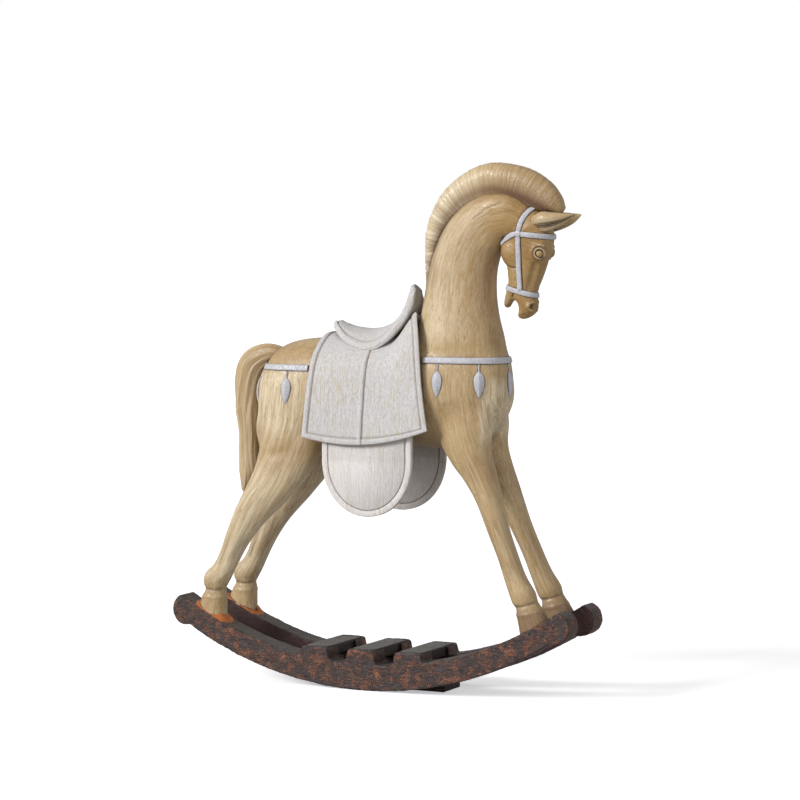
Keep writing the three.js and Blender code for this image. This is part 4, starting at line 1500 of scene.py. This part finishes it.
    def leaves(self) -> list[Object]:
        """The leaf drops under both straps."""
        spots = [("breast_leaf_centre", 80, self.breast, 0.0)]
        pairs = (("breast_leaf_front", 98, self.breast, 0.3), ("breast_leaf_rear", 70, self.breast, 0),
                 ("rump_leaf_front", -74, self.breech, 0), ("rump_leaf_rear", -90, self.breech, -0.85))
        for side in Side:
            spots += [(f"{word}_{side.word}", x, z, side.value * math.pi / 2 - side.value * swing)
                      for word, x, z, swing in pairs]
        made = []
        for name, x, z, turn in spots:
            out = Vector((math.cos(turn), math.sin(turn), 0))
            hit = self.touch(Vector((x, 0, z - self.strap)) + out * 150, -out)
            made.append(self.leaf("drop_" + name, hit, [name]))
        return made

    def bridle_straps(self) -> list[Object]:
        """Noseband, browband, cheek straps, throat lashes and rosettes."""
        half, high = self.bridle, self.bridle_height
        nose_line = Vector((41, 0, -10.5))
        hits = self.round_about(Vector((134, 0, 344)), nose_line, np.linspace(-math.pi, math.pi, 90)[:-1], 24)
        made = [self.strip("nose_band", hits, half, high, closed=True, replaces=["noseband"])]
        brow_line = Vector((39, 0, -4))
        hits = self.round_about(Vector((140, 0, 392)), brow_line, np.radians(np.linspace(-93, 93, 90)), 60)
        made.append(self.strip("brow_band", hits, half, high, replaces=["browband"]))
        cx, cz = self.crossing
        for side in Side:
            w = side.word
            cheek = ((136.3, 344.5), (136.2, 360), (cx - 0.5, 378), (cx, cz), (139.5, 403), (145.5, 412),
                     (155, 418.5), (159, 420))
            made.append(self.strip(f"cheek_band_{w}", self.from_side(cheek, side), half, high,
                                   replaces=[f"cheek_strap_{w}"]))
            lash = ((cx, cz), (131, 391.6), (124.5, 388.2), (118.6, 383.6))
            made.append(self.strip(f"throat_band_{w}", self.from_side(lash, side), half, high * 0.95,
                                   replaces=[f"throat_lash_{w}"]))
            made.append(self.rosette(side))
        return made

    def rosette(self, side: Side) -> Object:
        """The knot where the bridle's straps cross: a low button with a groove round its crown."""
        point, normal = self.touch(Vector((self.crossing[0], 90 * side.value, self.crossing[1])),
                                   Vector((0, -side.value, 0)))
        profile = ((0, 2.5), (0.8, 2.42), (1.3, 2.05), (1.7, 2.1), (2.3, 1.95), (2.8, 1.4), (3.0, 0.7),
                   (3.0, -1), (0, -1))
        turn = normal.to_track_quat("Z", "Y").to_matrix().to_4x4()
        knot = spun(profile, 32, Matrix.Translation(point) @ turn)
        return make_piece(mesh_of(knot, "rosette"), f"bridle_knot_{side.word}", STRAP_PAINT,
                          [f"rosette_{side.word}"])


# ---------------------------------------------------------------- saddle


def bezier(a: Sequence[float], b: Sequence[float], c: Sequence[float], d: Sequence[float],
           count: int) -> np.ndarray:
    """Points along one cubic curve, without its last one."""
    t = np.linspace(0, 1, count, endpoint=False)[:, None]
    a, b, c, d = (np.array(p, float) for p in (a, b, c, d))
    return a * (1 - t) ** 3 + 3 * b * t * (1 - t) ** 2 + 3 * c * t * t * (1 - t) + d * t ** 3


@dataclass
class Saddle:
    """The saddle cloth over the back, the two skirt flaps under it and the dished seat on top."""

    hem: float = 216.0
    top: float = 306.5
    half_width: float = 40.5
    thickness: float = 3.6
    withers: float = 24.0
    lean: float = 0.5
    border: float = 5.0
    seam: float = 3.0
    flap_centre: float = 5.0
    flap_half: float = 42.5
    flap_bottom: float = 150.0
    flap_top: float = 246.0
    flap_outer: float = 36.2
    flap_thickness: float = 4.0
    seat_stations: Stations = (
        (-40, 0, 316, 1.2, 7), (-35, 0, 312.5, 3.5, 14), (-22, 0, 308, 4.5, 22), (-2, 0, 306.5, 5, 27),
        (15, 0, 310.5, 5.5, 25), (27, 0, 319.5, 5.8, 19), (33.5, 0, 331, 5.6, 13), (34.8, 0, 341, 4.2, 8.2),
        (32.6, 0, 348, 1, 3))

    def build(self) -> list[Object]:
        """Carves the cloth, the seat and the flaps."""
        return [self.cloth(), self.seat()] + [self.flap(side) for side in Side]

    def arch(self) -> np.ndarray:
        """Half of the cloth's outline seen from the front, from the hem to the spine."""
        h, top = self.half_width, self.top
        low = bezier((h, self.hem), (h - 2, 262), (h - 3, 281), (h - 13, 292), 40)
        high = bezier((h - 13, 292), (h - 21, 301), (12, top), (0, top), 40)
        return np.vstack([low, high, [[0, top]]])

    def edge(self, z: float, front: bool) -> float:
        """Where the cloth's front or rear edge is at a height."""
        share = (z - 190) / 140
        return 67.5 - 15.5 * share if front else -57.5 + 12 * share

    def hem_sag(self, x: float) -> float:
        """How much lower than its corners' mean the hem hangs at x."""
        return 4.0 - 0.064 * (x - 3) - 0.00258 * (x - 3) ** 2

    def relief(self, rim: float, low: float, x: float, z: float) -> tuple[float, float]:
        """The cloth's low relief: a raised border with a groove inside it, and a seam down the middle.

        Args:
            rim: the distance from the front or rear edge.
            low: the distance from the hem.
            x: the place along the horse.
            z: the height.

        Returns:
            How proud the surface is, and how dark the groove and the seam are painted, as glaze and painted
            shade.
        """
        near = min(rim, low)
        rise = 0.75 * (1 - float(ramp(np.array(near), self.border - 1.3, self.border - 0.2)))
        groove = math.exp(-((near - self.border) / 0.7) ** 2)
        seam = x - self.seam - 0.035 * (z - 250)
        strip = 0.85 * math.exp(-((seam + 1.9) / 1.7) ** 4)
        slit = math.exp(-((seam - 0.55) / 0.55) ** 2)
        rise = max(rise, strip) - 0.55 * groove * (1 - strip) - 0.6 * slit
        rise -= 0.5 * math.exp(-(near / 0.9) ** 2)
        return rise, max(0.55 * groove * (1 - strip), 0.9 * slit)

    def cloth(self) -> Object:
        """The cloth: a grid bent over the back, carved with its border and seam, and given its thickness."""
        arch = self.arch()
        steps = np.linalg.norm(np.diff(arch, axis=0), axis=1)
        length = np.concatenate([[0], np.cumsum(steps)])
        bm = bmesh.new()
        bmesh.ops.create_grid(bm, x_segments=150, y_segments=250, size=1)
        line = bm.verts.layers.float.new("line")
        slopes = np.gradient(arch, axis=0)
        for v in bm.verts:
            side = -1 if v.co.y < 0 else 1
            s = (1 - abs(v.co.y)) * length[-1]
            y, z = np.interp(s, length, arch[:, 0]), np.interp(s, length, arch[:, 1])
            dy, dz = np.interp(s, length, slopes[:, 0]), np.interp(s, length, slopes[:, 1])
            out = Vector((0, dz, -dy)).normalized()
            rear, front = self.edge(z, False), self.edge(z, True) - self.lean * (self.half_width - y)
            x = rear + (front - rear) * (v.co.x + 1) / 2
            z += self.withers * float(ramp(np.array([x]), 20, 46)[0] * ramp(np.array([z]), 262, 300)[0])
            z -= self.hem_sag(x) * (1 - min(s / 60, 1)) ** 2
            wave = 0.5 * noise.noise((x * 0.03, y * 0.03, z * 0.03))
            rise, v[line] = self.relief(min(x - rear, front - x), s, x, z)
            v.co = Vector((x, y * side, z)) + Vector((0, out.y * side, out.z)) * (rise + wave)
        tidied(bm)
        bmesh.ops.solidify(bm, geom=list(bm.faces), thickness=self.thickness)
        bmesh.ops.recalc_face_normals(bm, faces=bm.faces)
        return make_piece(mesh_of(bm, "cloth"), "carved_saddle_cloth", SADDLE_PAINT,
                          ["saddle_cloth"])

    def seat(self) -> Object:
        """The seat: a draped crescent with a raised rim along its edges."""
        ring = []
        for k in range(96):
            turn = 2 * math.pi * k / 96
            c, s = math.cos(turn), math.sin(turn)
            deep = math.copysign(abs(c) ** (2 / 2.6), c)
            wide = math.copysign(abs(s) ** (2 / 3.4), s)
            if deep < 0:
                deep *= 0.9
            ring.append((deep, wide))
        path, arch = spaced_path(self.seat_stations, 24), self.arch()
        bm = swept(ring, sections_along(path))
        line = bm.verts.layers.float.new("line")
        dark = bm.verts.layers.float.new("glaze")
        moves = []
        for v in bm.verts:
            nearest = path[np.argmin((path[:, 0] - v.co.x) ** 2 + (path[:, 2] - v.co.z) ** 2)]
            share = abs(v.co.y) / max(nearest[4], 1)
            inward = nearest[4] - abs(v.co.y)
            upper = 1.0 if v.normal.dot(Vector((-0.35, 0, 1)).normalized()) > 0.25 else 0.0
            rim, dip = math.exp(-((inward - 1.6) / 1.5) ** 2), math.exp(-((inward - 4.2) / 1.1) ** 2)
            lip = upper * (0.9 * rim - 0.7 * dip)
            # A faint dark line in the dip inside the rim, glaze and painted shade. Painted shade: the faces
            # that look forward, under the pommel, are darkened.
            v[line] = upper * 0.35 * math.exp(-((inward - 4.0) / 0.8) ** 2)
            shade = min(1.0, (v.normal.x - 0.2) * 1.6) * (0.6 + 0.4 * min(share, 1))
            v[dark] = shade if v.normal.x > 0.35 and v.co.x > 16 else 0.0
            moves.append((v, v.normal * lip))
        for v, move in moves:
            v.co += move
            v.co.z -= self.top - float(np.interp(-abs(v.co.y), -arch[:, 0], arch[:, 1]))
        bmesh.ops.recalc_face_normals(bm, faces=bm.faces)
        return make_piece(mesh_of(bm, "seat"), "carved_saddle_seat", SADDLE_PAINT,
                          ["saddle_seat"])

    def flap(self, side: Side) -> Object:
        """One skirt flap: a rounded board with a border cut into both faces."""
        bend = self.flap_bottom + 0.72 * self.flap_half
        left, right = self.flap_centre - self.flap_half, self.flap_centre + self.flap_half
        middle, low = self.flap_centre, self.flap_bottom
        points = [np.array([[left, self.flap_top]]),
                  bezier((left, bend + 18), (left, bend - 12), (middle - 22, low), (middle, low), 22),
                  bezier((middle, low), (middle + 22, low), (right, bend - 12), (right, bend + 18), 22),
                  np.array([[right, bend + 18], [right, self.flap_top]])]
        outer = self.flap_outer * side.value
        bm = bmesh.new()
        verts = [bm.verts.new((x, outer, z)) for x, z in np.vstack(points)]
        board = bm.faces.new(verts)
        back = bmesh.ops.extrude_face_region(bm, geom=[board])["geom"]
        bmesh.ops.translate(bm, vec=(0, -side.value * self.flap_thickness, 0),
                            verts=list(verts_in(back)))
        bmesh.ops.recalc_face_normals(bm, faces=bm.faces)
        faces = sorted(bm.faces, key=lambda f: -f.calc_area())[:2]
        line = bm.verts.layers.float.new("line")
        shade = bm.verts.layers.float.new("glaze")
        # Border steps: width, depth and how dark the step is painted, as glaze and painted shade in its
        # groove.
        border = ((0.5, 0.35, 0.0), (4.4, 0.0, 0.0), (0.45, -0.75, 0.55), (0.4, 0.0, 0.5), (0.5, 0.7, 0.0))
        for face in faces:
            for width, depth, dark in border:
                bmesh.ops.inset_region(bm, faces=[face], thickness=width, depth=depth, use_even_offset=True,
                                       use_boundary=True)
                for v in face.verts:
                    v[line] = dark
        rim = [e for e in bm.edges if e.is_manifold and abs(e.calc_face_angle(0)) > 1.0]
        bmesh.ops.bevel(bm, geom=rim, offset=0.6, segments=2, profile=0.5, affect="EDGES", material=-1)
        bmesh.ops.triangulate(bm, faces=[f for f in bm.faces if len(f.verts) > 4])
        # Painted shade: the flap's inner face, towards the horse, is darkened.
        for v in bm.verts:
            v[shade] = 0.3 if abs(v.co.y) < self.flap_outer - self.flap_thickness / 2 else 0.0
        name = f"skirt_flap_{side.word}"
        return make_piece(mesh_of(bm, name), f"carved_{name}", LIT_FLAP_PAINT, [name])


# ---------------------------------------------------------------- runners


@dataclass
class Stand:
    """The two curved runners, three slats, stand plate and copper-painted hoof pads."""

    voxel: float = 0.9
    deck: Deck = field(default_factory=Deck)
    spread: float = 27.5
    thickness: float = 21.0

    def build(self) -> list[Object]:
        """Hews every piece of the stand."""
        made = [self.hewn(f"rocker_{side.word}", RUNNER_PAINT, 0.42, side) for side in Side]
        made += [self.hewn(f"slat_{place}", SLAT_PAINT, 0.22) for place in ("rear", "middle", "front")]
        made.append(self.hewn("stand_plate", SLAT_PAINT, 0.15))
        return made + [self.pad(side) for side in Side]

    def hewn(self, node: str, finish: Finish, rough: float, side: Optional[Side] = None) -> Object:
        """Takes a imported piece's shape, softens its edges and roughens its faces as hand tools leave them.

        Args:
            node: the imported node.
            finish: what it is painted with.
            rough: how uneven it is, in millimetres.
            side: the side that a runner is on.

        Returns:
            The hewn piece.
        """
        bm = bmesh.new()
        bm.from_mesh(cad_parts[node].data)
        bmesh.ops.scale(bm, vec=(1 / MM,) * 3, verts=bm.verts)
        bmesh.ops.remove_doubles(bm, verts=bm.verts, dist=0.005)
        skin = Skin(remeshed(bm, self.voxel))
        skin.relax(3)
        wide = grain_noise(skin.co, (16, 9, 9))
        fine = grain_noise(skin.co, (3.2, 2.0, 2.0), 7.0)
        skin.push(rough * (0.8 * wide + 0.7 * fine))
        skin.co[:, 2] = np.maximum(skin.co[:, 2], 0.0)
        out = skin.normals()
        # Painted light: the top share gives upward faces a lighter drab. Painted shade: the inner share gives
        # a runner's low inner faces a dark red.
        skin.mark("top", ramp(out[:, 2], 0.55, 0.85))
        if side is not None:
            deck = np.array([self.deck.height(x) for x in skin.co[:, 0]])
            skin.mark("inner", ramp(-side.value * out[:, 1], 0.5, 0.85) * (skin.co[:, 2] < deck + 20))
        return make_piece(skin.mesh, "hewn_" + node, finish, [node])

    def pad(self, side: Side) -> Object:
        """The copper wedge between a rear hoof and the runner, thickest at the hoof's outer wall."""
        edge, wall, inner = self.spread + 10.2, self.spread + 5.5, self.spread - 10.0
        centre, half = -149.0, 17.5
        bm = bmesh.new()
        bmesh.ops.create_grid(bm, x_segments=48, y_segments=36, size=1)
        bottom = bmesh.ops.extrude_face_region(bm, geom=list(bm.faces))["geom"]
        low = verts_in(bottom)
        for v in bm.verts:
            u = v.co.x
            y = inner + (edge - inner) * (v.co.y + 1) / 2
            x = centre + u * half * math.sqrt(max(1 - 0.45 * v.co.y ** 2, 0))
            slope = 1 - float(ramp(np.array(y), wall, edge))
            rise = 0.35 + (4.2 if y > self.spread else 1.3) * slope * max(0.0, 1 - abs(u) ** 3)
            rise *= 1 - 0.9 * abs(u) ** 6
            height = -0.8 if v in low else rise
            v.co = Vector((x, y * side.value, self.deck.height(x))) + self.deck.upright(x) * height
        tidied(bm)
        name = f"hoof_pad_{side.word}"
        return make_piece(mesh_of(bm, name), f"copper_{name}", COPPER_PATCH, [name])


# ---------------------------------------------------------------- edge and occlusion maps for painted shade, studio and assembly


def weather(pieces: Sequence[Object], reach: float = 9.0, rays: int = 8) -> None:
    """Keeps on each piece how proud its edges are and how close its hollows are to other faces, for painted
    shade in the hollows.

    Args:
        pieces: all the pieces, in metres.
        reach: how far away, in millimetres, another face still counts.
        rays: how many directions are tried for each vertex.
    """
    verts, tris = [], []
    for obj in pieces:
        base = len(verts)
        obj.data.calc_loop_triangles()
        verts.extend((v.co / MM) for v in obj.data.vertices)
        tris.extend(tuple(base + i for i in t.vertices) for t in obj.data.loop_triangles)
    around = BVHTree.FromPolygons(verts, tris, all_triangles=True)
    golden = math.pi * (3 - math.sqrt(5))
    fan = []
    for k in range(rays):
        rise = 0.15 + 0.8 * (k + 0.5) / rays
        flat = math.sqrt(1 - rise * rise)
        fan.append(Vector((flat * math.cos(golden * k), flat * math.sin(golden * k), rise)))
    for obj in pieces:
        skin = Skin(obj.data)
        normals = skin.normals()
        skin.co /= MM
        a, b = skin.edges.T
        gap = 2 * (skin.co - skin.averaged())
        size = np.maximum(np.linalg.norm(skin.co[a] - skin.co[b], axis=1).mean(), 0.2)
        bend = skin.spread((gap * normals).sum(axis=1) / size, 2)
        # Proud edges: the finishes lighten or blacken them as rubbed paint; on the horse the pale is also a
        # painted highlight.
        skin.mark("proud", np.clip(bend * 5.5, 0, 1))
        hollow = np.zeros(len(skin.co))
        for i in range(len(hollow)):
            normal = Vector(normals[i])
            turn = normal.to_track_quat("Z", "Y")
            start = Vector(skin.co[i]) + normal * 0.35
            for ray in fan:
                distance = around.ray_cast(start, turn @ ray, reach)[3]
                if distance is not None:
                    hollow[i] += (1 - distance / reach) / rays
        # Painted shade: how closed-in each point is by nearby faces, plus how concave it is; the finishes
        # darken the paint there.
        skin.mark("hollow", np.clip(skin.spread(hollow * 1.5, 3) + np.clip(-bend * 3.0, 0, 0.6), 0, 1))


@dataclass
class Studio:
    """A white floor, a white room, two soft suns and the camera."""

    eye: tuple[float, float, float] = (1.0925, -2.2076, 0.4015)
    target: tuple[float, float, float] = (0.01967, 0.0, 0.2488)
    lens: float = 128.12

    def build(self) -> None:
        """Sets everything up."""
        self.camera()
        self.floor()
        self.lights()
        bpy.context.scene.view_settings.view_transform = "Standard"

    def camera(self) -> None:
        """The camera, a little above the horse and to the right of its shoulder."""
        data = bpy.data.cameras.new("camera")
        data.lens = self.lens
        data.sensor_width = 36
        obj = bpy.data.objects.new("camera", data)
        obj.location = self.eye
        obj.rotation_euler = (Vector(self.target) - Vector(self.eye)).to_track_quat("-Z", "Y").to_euler()
        bpy.context.scene.collection.objects.link(obj)
        bpy.context.scene.camera = obj

    def floor(self) -> None:
        """A wide white floor, lightened so that shadows on it stay faint."""
        bm = bmesh.new()
        bmesh.ops.create_grid(bm, x_segments=2, y_segments=2, size=60)
        mesh = mesh_of(bm, "floor")
        material = bpy.data.materials.new("floor_white")
        material.use_nodes = True
        board = Board(material.node_tree)
        seen = board.put("LightPath").outputs["Is Camera Ray"]
        glow = board.sum("MULTIPLY", seen, 0.47)
        white = board.put("MapRange", {"Value": seen, "To Min": 0.5, "To Max": 0.95}).outputs[0]
        look = {"Base Color": white, "Roughness": 0.9, "Emission Color": (0.97, 0.97, 1.0, 1),
                "Emission Strength": glow}
        shader = board.put("BsdfPrincipled", look)
        board.put("OutputMaterial", {"Surface": shader.outputs[0]})
        mesh.materials.append(material)
        obj = bpy.data.objects.new("floor", mesh)
        bpy.context.scene.collection.objects.link(obj)

    def lights(self) -> None:
        """A soft sun from the left, a weaker one from the right, and light from all round."""
        suns = (("key", (0.7, 0.84, -0.55), 2.75, 22), ("fill", (-0.9, 0.6, -0.35), 0.6, 60))
        for name, direction, strength, spread in suns:
            data = bpy.data.lights.new(name, "SUN")
            data.energy = strength
            data.angle = math.radians(spread)
            obj = bpy.data.objects.new(name, data)
            obj.rotation_euler = Vector(direction).to_track_quat("-Z", "Y").to_euler()
            bpy.context.scene.collection.objects.link(obj)
        world = bpy.data.worlds.new("room")
        bpy.context.scene.world = world
        world.use_nodes = True
        board = Board(world.node_tree)
        seen = board.put("LightPath").outputs["Is Camera Ray"]
        strength = board.put("MapRange", {"Value": seen, "To Min": 0.38, "To Max": 1.0}).outputs[0]
        back = board.put("Background", {"Color": (1, 1, 1, 1), "Strength": strength})
        board.put("OutputWorld", {"Surface": back.outputs[0]})


def main() -> None:
    """Builds the horse, marks its proud edges and the occlusion that paints shade in hollows, lights it and
    reports each piece.
    """
    logging.basicConfig(level=logging.INFO, format="%(message)s")
    Studio().build()
    for node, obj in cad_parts.items():
        if "dowel" in node or "peg" in node:
            obj.data.materials.clear()
            obj.data.materials.append(DOWEL_WOOD.material())
    horse = CarvedHorse()
    horse.rough_out()
    horse.carve()
    pieces = horse.saw_apart()
    pieces += Hair().build()
    pieces += EarsAndEyes(horse.surface).build()
    pieces += Tack(horse.surface).build()
    pieces += Saddle().build()
    pieces += Stand().build()
    weather(pieces)
    for obj in pieces:
        log.info("%s: %d faces, size %s mm", obj.name, len(obj.data.polygons),
                 tuple(round(d / MM, 1) for d in obj.dimensions))


if __name__ == "__main__":
    main()
